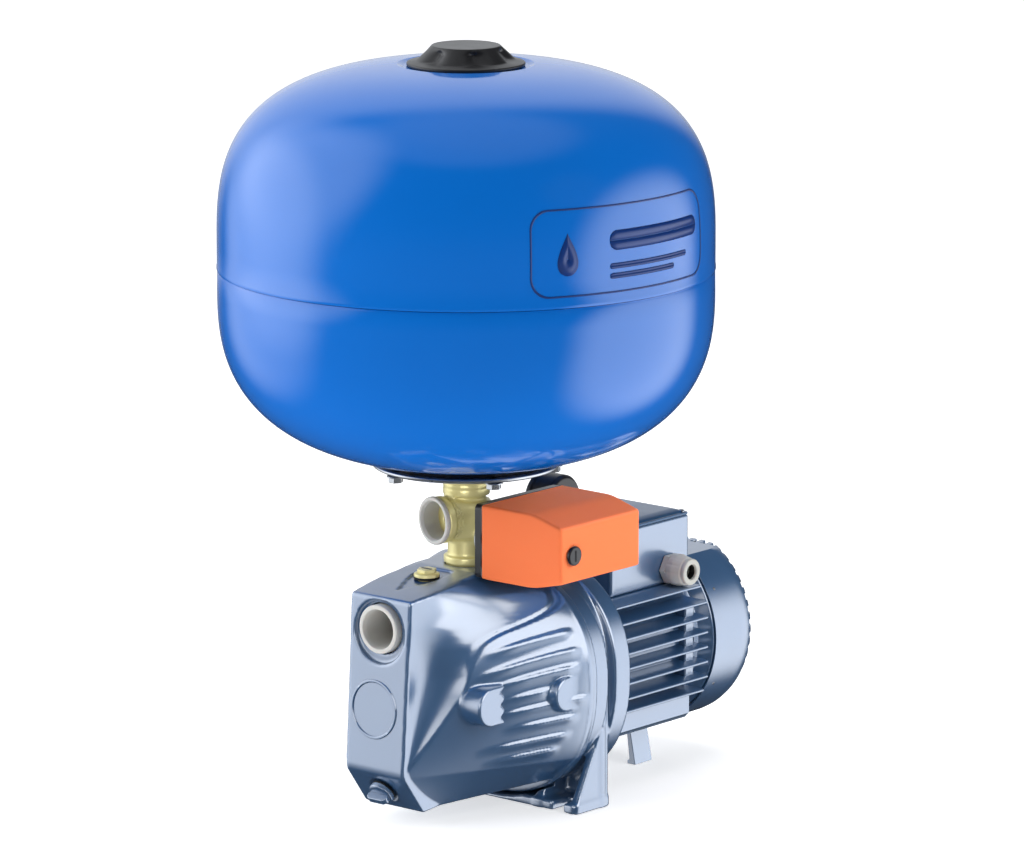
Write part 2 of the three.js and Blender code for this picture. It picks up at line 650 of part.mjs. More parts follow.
// -------------------------------------------------------------------------------------------------------
// Terminal box and cable gland
// -------------------------------------------------------------------------------------------------------
function addTerminalBox() {
  const { halfWidth, front, rear, bottom, top, wall } = BOX;
  const glandAt = [GLAND.y, GLAND.z];
  const cavity = cut(
    block([wall - halfWidth, halfWidth - wall], [front + wall, rear - wall], [bottom + wall, top + 1]),
    rod("y", FRAME.radius + wall + 0.5, front - 1, rear + 1, shaftLine, FINE),
  );
  addPart(
    "terminal_box",
    cut(
      block([-halfWidth, halfWidth], [front, rear], [bottom, top]),
      cavity,
      rod("y", FRAME.radius + GAP, front - 1, rear + 1, shaftLine, FINE),
      block([-30, 30], [front - 1, rear + 1], [bottom - 1, SHAFT_Z + FRAME.radius - 6]),
      rod("x", 8 + GAP, halfWidth - 10, halfWidth + 1, glandAt),
    ),
    "enamel",
  );
  addPart(
    "terminal_box_lid",
    join(
      block([-halfWidth, halfWidth], [front, rear], [top + GAP, top + 2]),
      slab("y", [[-46, top + 1.5], [46, top + 1.5], [41, LID_TOP], [-41, LID_TOP]], front + 2, rear - 2),
    ),
    "lid",
  );
  const clamps = block([-30, -10], [82, 90], [171, 178]);
  addPart("terminal_block", join(block([-34, -6], [80, 92], [160, 172]), clamps), "dark");
  addPart("run_capacitor", rod("y", 12, 97, 147, [8, 173.5]), "plastic");

  const face = halfWidth + GAP;
  const nutFront = face + GLAND.base + GAP;
  const coneFront = nutFront + GLAND.skirt - 4;
  const sleeveEnd = nutFront + GLAND.skirt - 1;
  const tip = face + GLAND.reach;
  addPart(
    "gland_body",
    cut(
      join(
        rod("x", 8, halfWidth - 6, face + 1, glandAt),
        rod("x", GLAND.root, face, face + GLAND.base, glandAt, 6),
        rod("x", 8.4, face + 4, sleeveEnd, glandAt),
      ),
      rod("x", GLAND.bore + 0.8, halfWidth - 10, tip, glandAt),
    ),
    "gland",
  );
  addPart(
    "gland_nut",
    cut(
      join(
        rod("x", GLAND.root, nutFront, coneFront, glandAt),
        cone("x", GLAND.root, GLAND.tip, coneFront, tip, glandAt),
      ),
      rod("x", 8.7, face, sleeveEnd + GAP, glandAt),
      rod("x", GLAND.bore, face, tip + 1, glandAt),
    ),
    "gland",
  );
}

// -------------------------------------------------------------------------------------------------------
// Manifold, gauge and pressure switch
// -------------------------------------------------------------------------------------------------------

// Turns a solid made along -Y from the manifold's axis onto the outlet's direction.
function ontoOutlet(solid) {
  const degrees = THREE.MathUtils.radToDeg(OUTLET.turn);
  return solid.rotate([0, 0, -degrees]).translate([0, PORT_Y, 0]);
}

function manifoldBody() {
  const { bore, neck, body, collar, top, bottom } = MANIFOLD;
  const outletAt = [0, OUTLET.z];
  const branch = rod("y", OUTLET.radius - 1.6, 4 - OUTLET.reach, 0, outletAt);
  const lowerNeck = [[0, 192], [neck, 194]];
  const middle = [[body, 200], [body, 227]];
  const profile = [...lowerNeck, ...middle, [collar, 231], [collar, top], [0, top]];
  return cut(
    join(
      rod("z", DELIVERY.thread - GAP, bottom, DECK_Z + 1, portLine),
      rod("z", 16.8, DECK_Z + GAP, DECK_Z + 6, portLine),
      rod("z", neck, DECK_Z, top - 10, portLine),
      turned("z", profile, portLine),
      ontoOutlet(branch),
      rod("x", 9, 0, 20, [PORT_Y, SWITCH.z]),
      rod("y", 8.5, PORT_Y, PORT_Y + 25, [0, GAUGE.z]),
    ),
    rod("z", bore, bottom - 1, top + 1, portLine),
    rod("z", 13.4, 236, top + 1, portLine),
    ontoOutlet(rod("y", bore, -40, 0, outletAt)),
    ontoOutlet(rod("y", OUTLET.bore + GAP, -40, -14, outletAt)),
    rod("x", 3, 0, 30, [PORT_Y, SWITCH.z]),
    rod("y", 5, PORT_Y + 15, PORT_Y + 30, [0, GAUGE.z]),
    rod("y", 3, PORT_Y, PORT_Y + 30, [0, GAUGE.z]),
  );
}

function addManifold() {
  addPart("manifold_body", manifoldBody(), "brass");
  const outletAt = [0, OUTLET.z];
  const lip = [OUTLET.radius, 14.2];
  addPart(
    "outlet_liner",
    join(
      ontoOutlet(ring("y", ...lip, -OUTLET.reach, 4 - OUTLET.reach - GAP, outletAt)),
      ontoOutlet(ring("y", OUTLET.bore, 13.6, 1 - OUTLET.reach, -15, outletAt)),
    ),
    "plastic",
  );
}

function addGauge() {
  const at = [GAUGE.y, GAUGE.z];
  const { radius, front, back, stem } = GAUGE;
  const portEnd = PORT_Y + 25;
  const bezel = radius - 1;
  const floor = front + 7;
  const outline = [
    [0, back],
    [radius - 4, back],
    [bezel, back - 3],
    [bezel, front + 3],
    [radius, front + 3],
    [radius, front],
    [0, front],
  ];
  addPart(
    "gauge_case",
    cut(
      join(
        turned("x", outline, at),
        rod("y", stem, portEnd + GAP, GAUGE.y - radius + 6, [0, GAUGE.z], 6),
        rod("y", 4.7, PORT_Y + 16, portEnd + 2, [0, GAUGE.z]),
      ),
      rod("x", radius - 2.5, front - 1, floor, at),
    ),
    "dark",
  );
  const tip = radius - 5;
  const needle = join(
    slab("x", [[-1.6, -6], [1.6, -6], [0.5, tip], [-0.5, tip]], front + 2, front + 3),
    rod("x", 2.6, front + 2, front + 3, [0, 0], 12),
    rod("x", 1.5, front + 2, floor - GAP, [0, 0], 12),
  );
  const zeroMark = -135;
  addPart("gauge_needle", needle.rotate([zeroMark, 0, 0]).translate([0, ...at]), "dark");
}

// The cover's walls lean in towards its outer face. shift moves every wall inwards.
function coverShape(shift) {
  const { front, rear, coverBack, coverFace } = SWITCH;
  const { back, face, chamferX } = SWITCH_HEIGHT;
  const side = [
    [coverBack, back[0] + shift],
    [chamferX, back[0] + shift],
    [coverFace - shift, face[0] + shift],
    [coverFace - shift, face[1] - shift],
    [chamferX, back[1] - shift],
    [coverBack, back[1] - shift],
  ];
  return slab("y", side, front + shift, rear - shift);
}

function addSwitch() {
  const { z, front, rear, back, coverBack, coverFace } = SWITCH;
  const screwAt = [front + 15.5, z - 1.5];
  const plate = [back + 2, coverBack - GAP];
  const plungerAt = [PORT_Y, z];
  addPart(
    "switch_base",
    cut(
      join(
        block(plate, [front, rear], [SWITCH_HEIGHT.back[0], SWITCH_HEIGHT.back[1]]),
        rod("x", 20, 20 + GAP, back + 3, plungerAt),
        rod("x", 3.5, back + 3, 84, screwAt),
      ),
      rod("x", PLUNGER.radius + GAP, 22, coverBack, plungerAt),
      rod("x", 2.2, 70, 90, screwAt),
    ),
    "dark",
  );
  const hollow = coverShape(SWITCH.wall).translate([-2, 0, 0]);
  const screwHole = rod("x", 3, coverFace - 5, coverFace + 1, screwAt);
  addPart("switch_cover", cut(coverShape(0), hollow, screwHole), "cover");
  const [screwY, screwZ] = screwAt;
  const slotAcross = [screwY - 0.8, screwY + 0.8];
  const slotAlong = [screwZ - SWITCH.screwHead, screwZ + SWITCH.screwHead];
  const screw = join(
    rod("x", 2, 76, coverFace + 1, screwAt),
    rod("x", SWITCH.screwHead, coverFace + GAP, coverFace + 2.6, screwAt, FINE),
  );
  const driverSlot = block([coverFace + 1.4, coverFace + 4], slotAcross, slotAlong);
  addPart("switch_cover_screw", cut(screw, driverSlot), "dark");
  const contacts = block([coverBack, 66], [rear - 22, rear - 6], [184, 224]);
  const carrier = block([coverBack, 58], [front + 6, rear - 6], [184, 187]);
  addPart("contact_block", join(contacts, carrier), "dark");
  const plunger = join(
    rod("x", PLUNGER.radius, 23, coverBack, plungerAt),
    rod("x", PLUNGER.tip, coverBack - 1, LEVER.x - GAP, plungerAt),
  );
  addPart("switch_plunger", plunger, "steel");
  const leverY = [front + 24, rear - 24];
  addPart(
    "switch_lever",
    join(
      block([LEVER.x, LEVER.x + 2], leverY, [LEVER.pivotZ + 1, LEVER.top]),
      rod("y", 2, ...leverY, [LEVER.x + 1, LEVER.pivotZ + 1], 12),
    ),
    "steel",
  );
}

// -------------------------------------------------------------------------------------------------------
// Pressure tank
// -------------------------------------------------------------------------------------------------------

// Points on a dome's outline between two radii, wall inside the outer surface.
function domeOutline({ edge, height, power, from, to, inset, steps }) {
  const radius = TANK.radius - inset;
  return Array.from({ length: steps + 1 }, (_, i) => {
    const start = Math.asin(Math.pow(from / radius, power / 2));
    const end = Math.asin(Math.min(1, Math.pow(to / radius, power / 2)));
    const turn = start + ((end - start) * i) / steps;
    const r = radius * Math.pow(Math.sin(turn), 2 / power);
    return [r, edge + (height - inset * Math.sign(height)) * Math.pow(Math.cos(turn), 2 / power)];
  });
}

function tankShell(up, mouth, seamZ) {
  const height = up ? TANK_DOME.upper : -TANK_DOME.lower;
  const power = up ? TANK_DOME.upperPower : TANK_DOME.lowerPower;
  const edge = up ? TANK.top - height : TANK.bottom - height;
  const shared = { edge, height, power, from: mouth, steps: 6 };
  const outer = domeOutline({ ...shared, to: TANK.radius, inset: 0 });
  const inner = domeOutline({ ...shared, to: TANK.radius - TANK.wall, inset: TANK.wall });
  return [...outer, [TANK.radius, seamZ], [TANK.radius - TANK.wall, seamZ], ...inner.reverse()];
}

function upperShell() {
  const { radius, edge, z } = TANK_DISH;
  const under = z - TANK.wall;
  const dome = tankShell(true, edge, TANK.seam + GAP / 2);
  return [[VALVE.radius + GAP, z], [radius, z], ...dome, [radius, under], [VALVE.radius + GAP, under]];
}

function addTank() {
  const lowerShell = tankShell(false, TANK_MOUTH, TANK.seam - GAP / 2);
  addPart("tank_upper_shell", turned("z", upperShell(), portLine, FINE), "tank");
  addPart("tank_lower_shell", turned("z", lowerShell, portLine, FINE), "tank");

  const flangeTop = FLANGE.bottom + FLANGE.thickness;
  const lip = [flangeTop + GAP, flangeTop + 2.3];
  const membrane = [
    [52, lip[0]],
    [62, lip[0]],
    [62, lip[1]],
    [54, lip[1]],
    [54, 264],
    [110, 290],
    [128, 340],
    [112, 410],
    [50, 440],
    [0, 446],
    [0, 444],
    [49, 438],
    [110, 409],
    [126, 340],
    [109, 291],
    [52, 266],
  ];
  addPart("tank_membrane", turned("z", membrane, portLine), "rubber");
  const boltPlace = (i) => {
    const turn = THREE.MathUtils.degToRad(41 + (360 / FLANGE.bolts) * i);
    return [FLANGE.boltCircle * Math.cos(turn), PORT_Y + FLANGE.boltCircle * Math.sin(turn)];
  };
  const bolts = Array.from({ length: FLANGE.bolts }, (_, i) => boltPlace(i));
  addPart(
    "tank_flange",
    cut(
      join(
        rod("z", FLANGE.radius, FLANGE.bottom, flangeTop, portLine, FINE),
        rod("z", 13, 238, FLANGE.bottom + 1, portLine),
      ),
      rod("z", MANIFOLD.bore, 230, flangeTop + 1, portLine),
      ...bolts.map((at) => rod("z", 3.3, 240, 260, at, 16)),
    ),
    "steel",
  );
  bolts.forEach((at, i) => {
    const headTop = FLANGE.bottom - GAP;
    addPart(
      `flange_bolt_${i + 1}`,
      join(rod("z", 5.6, headTop - 4.5, headTop, at, 6), rod("z", 3, headTop - 8, flangeTop, at, 12)),
      "steel",
    );
  });

  addPart(
    "air_valve",
    cut(
      join(
        rod("z", VALVE.radius, VALVE.bottom, VALVE.top - 3, portLine),
        rod("z", 4, VALVE.bottom, VALVE.top, portLine),
      ),
      rod("z", VALVE.pin + 0.6, VALVE.bottom - 1, VALVE.top + 1, portLine),
    ),
    "brass",
  );
  addPart("air_valve_pin", rod("z", VALVE.pin, VALVE.bottom + 4, VALVE.top - 0.4, portLine), "steel");
  addPart("tank_cap", turned("z", capProfile(), portLine, FINE), "dark");
}

// A low knob on a flat rim, hollow underneath.
function capProfile() {
  const { radius, rim, knob, top, wall } = CAP;
  const ceiling = top - wall;
  return [
    [0, top],
    [knob - 1.5, top],
    [knob, top - 0.8],
    [radius - 6, rim + 4],
    [radius - 1, rim + 2.4],
    [radius, rim + 1.4],
    [radius, rim],
    [radius - 8, rim],
    [knob - 2, ceiling],
    [0, ceiling],
  ];
}

addPumpCasing();
addWaterway();
addBracket();
addMotor();
addTerminalBox();
addManifold();
addGauge();
addSwitch();
addTank();

export default pumpSet;
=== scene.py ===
"""A shallow-well jet pump set: the looks of every piece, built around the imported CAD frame.

Lengths are in millimetres until mesh_object() turns them into metres. +Z is up, +Y runs along the shaft
from the suction port to the fan, and +X is the side of the pressure switch and the cable gland.
"""
import json
import math

import bmesh
import bpy
import numpy as np
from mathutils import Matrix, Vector

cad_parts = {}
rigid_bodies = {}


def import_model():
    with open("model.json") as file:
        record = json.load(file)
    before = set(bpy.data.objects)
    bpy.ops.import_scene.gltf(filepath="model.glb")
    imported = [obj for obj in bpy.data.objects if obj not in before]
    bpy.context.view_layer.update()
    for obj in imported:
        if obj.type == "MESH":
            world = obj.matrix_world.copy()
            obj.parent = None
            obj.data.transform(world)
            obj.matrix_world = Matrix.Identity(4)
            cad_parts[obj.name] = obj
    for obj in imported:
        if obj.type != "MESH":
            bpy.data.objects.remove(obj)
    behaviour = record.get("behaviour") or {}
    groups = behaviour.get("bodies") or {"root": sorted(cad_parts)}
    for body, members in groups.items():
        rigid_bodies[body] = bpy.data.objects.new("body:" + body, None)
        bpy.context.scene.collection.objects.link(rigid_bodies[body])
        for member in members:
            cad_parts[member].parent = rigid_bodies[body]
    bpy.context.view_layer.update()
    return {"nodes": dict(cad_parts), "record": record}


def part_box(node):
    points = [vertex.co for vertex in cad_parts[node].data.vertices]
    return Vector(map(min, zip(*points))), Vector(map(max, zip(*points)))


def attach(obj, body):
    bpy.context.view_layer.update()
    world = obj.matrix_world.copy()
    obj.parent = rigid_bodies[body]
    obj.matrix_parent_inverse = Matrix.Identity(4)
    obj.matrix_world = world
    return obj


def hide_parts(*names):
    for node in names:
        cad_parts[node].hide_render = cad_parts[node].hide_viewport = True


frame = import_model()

MM = 0.001


ACROSS, ALONG = np.array([1.0, 0, 0]), np.array([0, 1.0, 0])


def span(node):
    """The lowest and highest corners of a CAD node, in millimetres."""
    low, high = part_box(node)
    return np.array(low) / MM, np.array(high) / MM


def middle_of(node):
    return (sum(span(node)) / 2).tolist()


SHAFT_Z = float(sum(span("rotor_shaft"))[2] / 2)
PORT_Y = float(sum(span("tank_lower_shell"))[1] / 2)  # the upright axis of the tank and the delivery port
TANK_RADIUS = float(span("tank_lower_shell")[1][0])

# --- Camera, light and floor ---
CAMERA_AZIMUTH = math.radians(41)  # from the suction side towards the switch
CAMERA_REACH = 4500
CAMERA_HEIGHT = 1209.7
CAMERA_TILT = math.radians(78.332)
CAMERA_TURN = math.radians(40.58)
CAMERA_LENS = 222.95
CLIP_END = 60  # metres
LIGHTS_AIM = Vector((0, 0, 0.3))  # the middle of the set, in metres
FLOOR_SIZE = 60
TOWARDS_CAMERA = np.array([math.sin(CAMERA_AZIMUTH), -math.cos(CAMERA_AZIMUTH), 0])
RIGHT_OF_CAMERA = np.array([math.cos(CAMERA_AZIMUTH), math.sin(CAMERA_AZIMUTH), 0])


def seen_from_camera(turn, height):
    """The direction that lies turn degrees to the right of the camera and height degrees up."""
    turn, height = math.radians(turn), math.radians(height)
    level = TOWARDS_CAMERA * math.cos(turn) + RIGHT_OF_CAMERA * math.sin(turn)
    return level * math.cos(height) + [0, 0, math.sin(height)]


def add_camera():
    camera = bpy.data.objects.new("camera", bpy.data.cameras.new("camera"))
    camera.data.lens = CAMERA_LENS
    camera.data.clip_end = CLIP_END
    place = TOWARDS_CAMERA * CAMERA_REACH + [0, PORT_Y, CAMERA_HEIGHT]
    camera.location = place * MM
    camera.rotation_euler = (CAMERA_TILT, 0, CAMERA_TURN)
    bpy.context.scene.collection.objects.link(camera)
    bpy.context.scene.camera = camera


def add_softbox(name, side, towards, height, width, power, only_for=None):
    """An area light beside the object, turned to its middle. With only_for it lights that collection alone."""
    light = bpy.data.lights.new(name, "AREA")
    light.shape = "ELLIPSE"
    light.size, light.size_y = width
    light.energy = power
    thing = bpy.data.objects.new(name, light)
    thing.location = Vector(RIGHT_OF_CAMERA * side + TOWARDS_CAMERA * towards + [0, 0, height])
    thing.rotation_euler = (LIGHTS_AIM - thing.location).to_track_quat("-Z", "Y").to_euler()
    thing.visible_glossy = only_for is not None
    thing.light_linking.receiver_collection = only_for
    bpy.context.scene.collection.objects.link(thing)


def fill(node, values):
    """Sets a node's own inputs by name."""
    for name, value in values.items():
        node.inputs[name].default_value = value


def finished_in(material):
    """The collection of the pieces whose first material is this one, for the lights that are theirs alone."""
    group = bpy.data.collections.new("in_" + material)
    bpy.context.scene.collection.children.link(group)
    for thing in bpy.context.scene.objects:
        if thing.type == "MESH" and thing.data.materials and thing.data.materials[0] == materials[material]:
            group.objects.link(thing)
    return group


def add_floor():
    bpy.ops.mesh.primitive_plane_add(size=FLOOR_SIZE)
    floor = bpy.context.active_object
    floor.name = "floor"
    surface = bpy.data.materials.new("floor_paper")
    surface.use_nodes = True
    fill(surface.node_tree.nodes["Principled BSDF"], {
        "Base Color": (0.88, 0.88, 0.88, 1), "Emission Color": (1, 1, 1, 1), "Emission Strength": 0.6,
        "Roughness": 0.9, "Specular IOR Level": 0.1,
    })
    floor.data.materials.append(surface)
    floor.visible_glossy = False


STUDIO_PANELS = [  # direction, the cosines of its soft edge and of its core, strength
    (seen_from_camera(-95, 25), 0.64, 0.93, 1.4),
    (seen_from_camera(-108, 0), 0.7, 0.95, 1.1),
    (seen_from_camera(90, -16), 0.68, 0.95, 2.3),
    (seen_from_camera(-172, 24), 0.75, 0.95, 0.85),
    ((0, 0, 1), 0.77, 0.95, 0.3),
]
STUDIO_DARK = 0.04
STUDIO_TINT = (0.93, 0.96, 1, 1)


def add_world():
    """A white room to the eye. To reflections, a studio: bright panels to both sides and above, dark ground."""
    world = bpy.data.worlds.new("studio")
    bpy.context.scene.world = world
    world.use_nodes = True
    nodes, links = world.node_tree.nodes, world.node_tree.links
    nodes.clear()
    direction = nodes.new("ShaderNodeTexCoord").outputs["Generated"]
    total = None
    for centre, edge, core, strength in STUDIO_PANELS:
        dot = nodes.new("ShaderNodeVectorMath")
        dot.operation = "DOT_PRODUCT"
        links.new(direction, dot.inputs[0])
        dot.inputs[1].default_value = Vector(centre).normalized()
        ramp = nodes.new("ShaderNodeMapRange")
        ramp.interpolation_type = "SMOOTHERSTEP"
        fill(ramp, {"From Min": edge, "From Max": core, "To Max": strength})
        links.new(dot.outputs["Value"], ramp.inputs["Value"])
        add = nodes.new("ShaderNodeMath")
        add.operation = "ADD"
        add.inputs[0].default_value = STUDIO_DARK
        if total:
            links.new(total, add.inputs[0])
        links.new(ramp.outputs["Result"], add.inputs[1])
        total = add.outputs[0]
    studio, white = nodes.new("ShaderNodeBackground"), nodes.new("ShaderNodeBackground")
    studio.inputs["Color"].default_value = STUDIO_TINT
    links.new(total, studio.inputs["Strength"])
    white.inputs["Color"].default_value = (1, 1, 1, 1)
    mix = nodes.new("ShaderNodeMixShader")
    links.new(nodes.new("ShaderNodeLightPath").outputs["Is Camera Ray"], mix.inputs[0])
    links.new(studio.outputs[0], mix.inputs[1])
    links.new(white.outputs[0], mix.inputs[2])
    links.new(mix.outputs[0], nodes.new("ShaderNodeOutputWorld").inputs[0])


# --- Materials ---
def srgb(r, g, b):
    """A colour as a screen shows it, 0 to 255, in Blender's linear values."""
    linear = [c / 255 / 12.92 if c < 10.3 else ((c / 255 + 0.055) / 1.055) ** 2.4 for c in (r, g, b)]
    return (*linear, 1)


EDGE_WEAR_SHEEN_START, EDGE_WEAR_SHEEN_FULL, EDGE_WEAR_SHEEN_MOST = 0.53, 0.62, 0.55  # pointiness where the lighter edge colour starts and ends, its share there: part wear, part a painted highlight along edges


def finish_material(name, color, second, metallic=0.0, roughness=0.4, roughness_swing=0.08, coat=0.0,
                    coat_ior=1.5, coat_roughness=0.08, specular=0.5, grain=350.0, bump=0.02, blotch=14.0,
                    edge_wear_sheen=None, stretch=(1, 1, 1), subsurface=0.0, transmission=0.0, ior=1.5):
    """A procedural finish: two close colours in soft blotches, a fine grain, uneven gloss and lighter edges, which
    are part wear and part a painted highlight.
    """
    made = bpy.data.materials.new(name)
    made.use_nodes = True
    nodes, links = made.node_tree.nodes, made.node_tree.links
    shader = nodes["Principled BSDF"]
    fill(shader, {
        "Metallic": metallic, "Coat Weight": coat, "Coat Roughness": coat_roughness, "Coat IOR": coat_ior,
        "Specular IOR Level": specular, "Subsurface Weight": subsurface, "Subsurface Scale": 0.004,
        "Transmission Weight": transmission, "IOR": ior,
    })
    scale = nodes.new("ShaderNodeMapping")
    scale.inputs["Scale"].default_value = stretch
    links.new(nodes.new("ShaderNodeTexCoord").outputs["Object"], scale.inputs["Vector"])

    def noise(size, detail):
        texture = nodes.new("ShaderNodeTexNoise")
        fill(texture, {"Scale": size, "Detail": detail})
        links.new(scale.outputs["Vector"], texture.inputs["Vector"])
        return texture.outputs["Fac"]

    def mixed(share, first, other):
        blend = nodes.new("ShaderNodeMix")
        blend.data_type = "RGBA"
        links.new(share, blend.inputs[0])
        if isinstance(first, tuple):
            blend.inputs[6].default_value = srgb(*first)
        else:
            links.new(first, blend.inputs[6])
        blend.inputs[7].default_value = srgb(*other)
        return blend.outputs[2]

    shade = mixed(noise(blotch, 4), color, second)
    # Edges, found by pointiness, take a lighter colour: part wear, part a painted highlight along the edges.
    if edge_wear_sheen:
        edge = nodes.new("ShaderNodeMapRange")
        fill(edge, {"From Min": EDGE_WEAR_SHEEN_START, "From Max": EDGE_WEAR_SHEEN_FULL, "To Max": EDGE_WEAR_SHEEN_MOST})
        links.new(nodes.new("ShaderNodeNewGeometry").outputs["Pointiness"], edge.inputs["Value"])
        shade = mixed(edge.outputs["Result"], shade, edge_wear_sheen)
    links.new(shade, shader.inputs["Base Color"])
    gloss = nodes.new("ShaderNodeMapRange")
    fill(gloss, {"To Min": roughness - roughness_swing, "To Max": roughness + roughness_swing})
    links.new(noise(blotch * 3, 5), gloss.inputs["Value"])
    links.new(gloss.outputs["Result"], shader.inputs["Roughness"])
    relief = nodes.new("ShaderNodeBump")
    fill(relief, {"Strength": bump, "Distance": 0.001})
    links.new(noise(grain, 3), relief.inputs["Height"])
    links.new(relief.outputs["Normal"], shader.inputs["Normal"])
    return made


FINISHES = {  # two colours as a screen shows them, and how the surface differs from finish_material's own
    # The last colour of some entries is painted on their edges: part wear, part a painted highlight.
    "cast_enamel": ((54, 92, 132), (44, 80, 120), dict(
        metallic=0.4, coat=1.0, coat_ior=2.6, coat_roughness=0.2, grain=700, edge_wear_sheen=(170, 190, 212))),
    "lid_enamel": ((16, 74, 116), (10, 62, 102), dict(
        metallic=0.3, roughness=0.34, coat=0.4, grain=900, bump=0.05, edge_wear_sheen=(90, 140, 180))),
    "brass": ((232, 222, 160), (212, 201, 138), dict(
        metallic=0.35, roughness=0.32, grain=600, bump=0.12, edge_wear_sheen=(232, 224, 176))),
    "bright_steel": ((190, 193, 198), (165, 168, 174), dict(
        metallic=1.0, roughness=0.28, grain=500, bump=0.04, stretch=(1, 1, 6))),
    "zinc_steel": ((205, 207, 210), (176, 180, 185), dict(
        metallic=0.9, roughness=0.3, blotch=60, grain=300, bump=0.05)),
    "core_steel": ((112, 114, 118), (84, 86, 90), dict(
        metallic=0.85, roughness=0.45, grain=260, bump=0.5, stretch=(0.3, 8, 0.3))),
    "copper_winding": ((178, 96, 46), (140, 66, 28), dict(metallic=0.8, roughness=0.35, grain=500, bump=0.6)),
    "light_plastic": ((208, 206, 200), (194, 192, 187), dict(
        roughness=0.42, grain=900, bump=0.04, subsurface=0.05)),
    "dark_plastic": ((34, 34, 36), (26, 26, 28), dict(
        roughness=0.34, grain=1100, bump=0.06, edge_wear_sheen=(64, 64, 68))),
    "rubber": ((28, 28, 30), (20, 20, 22), dict(roughness=0.7, grain=900, bump=0.1)),
    "gland_plastic": ((208, 208, 200), (196, 196, 188), dict(grain=900, bump=0.05, subsurface=0.03)),
    "orange_cover": ((252, 130, 80), (248, 122, 72), dict(
        roughness=0.5, roughness_swing=0.05, specular=0.08, grain=1300, bump=0.1, subsurface=0.06,
        edge_wear_sheen=(248, 140, 90))),
    "tank_paint": ((0, 108, 202), (0, 102, 196), dict(
        roughness=0.45, roughness_swing=0.04, specular=0.05, coat=1.0, coat_ior=1.65, grain=420, bump=0.015,
        blotch=6)),
    "label_ink": ((10, 52, 120), (8, 46, 110), dict(roughness=0.35, grain=900)),
    "dial_paper": ((238, 238, 234), (228, 228, 224), dict(roughness=0.6, grain=900, bump=0.03)),
    "needle_red": ((176, 26, 20), (160, 20, 16), dict(grain=900, bump=0.03)),
    "gauge_glass": ((250, 250, 250), (244, 246, 248), dict(
        roughness=0.06, roughness_swing=0.03, grain=40, bump=0.01, transmission=1.0, ior=1.45)),
}


def make_materials():
    return {name: finish_material(name, *colors, **rest) for name, (*colors, rest) in FINISHES.items()}


# --- Meshes ---
CREASE = math.radians(34)


def round_edges(thing, width, segments, angle):
    """A bevel, its width in millimetres, on edges sharper than an angle in degrees."""
    rounding = thing.modifiers.new("rounding", "BEVEL")
    rounding.width = width * MM
    rounding.segments = segments
    rounding.limit_method = "ANGLE"
    rounding.angle_limit = math.radians(angle)
    rounding.harden_normals = True


def mesh_object(name, vertices, faces, material, stands_for=(), body="pump_body", bevel=0.0, crease=CREASE):
    """A piece from points in millimetres. bevel is the width of its rounded edges."""
    mesh = bpy.data.meshes.new(name)
    points = np.asarray(vertices, float) * MM
    mesh.from_pydata(points.tolist(), [], [tuple(int(i) for i in face) for face in faces])
    mesh.validate()
    mesh.polygons.foreach_set("use_smooth", [True] * len(mesh.polygons))
    mesh.set_sharp_from_angle(angle=crease)
    mesh.materials.append(materials[material])
    thing = bpy.data.objects.new(name, mesh)
    bpy.context.scene.collection.objects.link(thing)
    if bevel:
        round_edges(thing, bevel, 3, 28)
    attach(thing, body)
    if stands_for:
        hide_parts(*stands_for)
    return thing


def onto(axis, points, at):
    """Puts points made along +Z on another axis. at holds the other two coordinates, in X, Y, Z order."""
    points = np.asarray(points, float)
    a, b, along = points[:, 0], points[:, 1], points[:, 2]
    if axis == "z":
        return np.stack([a + at[0], b + at[1], along], 1)
    if axis == "y":
        return np.stack([b + at[0], along, a + at[1]], 1)
    return np.stack([along, a + at[0], b + at[1]], 1)


def rounded(points, radius, steps=5, closed=True):
    """A polygon with its corners turned into arcs. radius is one number, or one for each corner."""
    points = [np.asarray(p, float) for p in points]
    count = len(points)
    radii = [radius] * count if np.isscalar(radius) else list(radius)
    outline = []
    for i, corner in enumerate(points):
        if not closed and i in (0, count - 1):
            outline.append(corner)
            continue
        back, ahead = points[i - 1] - corner, points[(i + 1) % count] - corner
        back_length, ahead_length = np.linalg.norm(back), np.linalg.norm(ahead)
        if radii[i] <= 0 or back_length < 1e-6 or ahead_length < 1e-6:
            outline.append(corner)
            continue
        back, ahead = back / back_length, ahead / ahead_length
        half = math.acos(max(-1, min(1, float(back @ ahead)))) / 2
        if half > math.radians(88) or half < math.radians(2):
            outline.append(corner)
            continue
        reach = min(radii[i] / math.tan(half), 0.48 * back_length, 0.48 * ahead_length)
        arc = reach * math.tan(half)
        middle = back + ahead
        centre = corner + middle / np.linalg.norm(middle) * arc / math.sin(half)
        first, last = corner + back * reach - centre, corner + ahead * reach - centre
        turn = math.atan2(first[0] * last[1] - first[1] * last[0], float(first @ last))
        for k in range(steps + 1):
            c, s = math.cos(turn * k / steps), math.sin(turn * k / steps)
            outline.append(centre + [first[0] * c - first[1] * s, first[0] * s + first[1] * c])
    return np.array(outline)


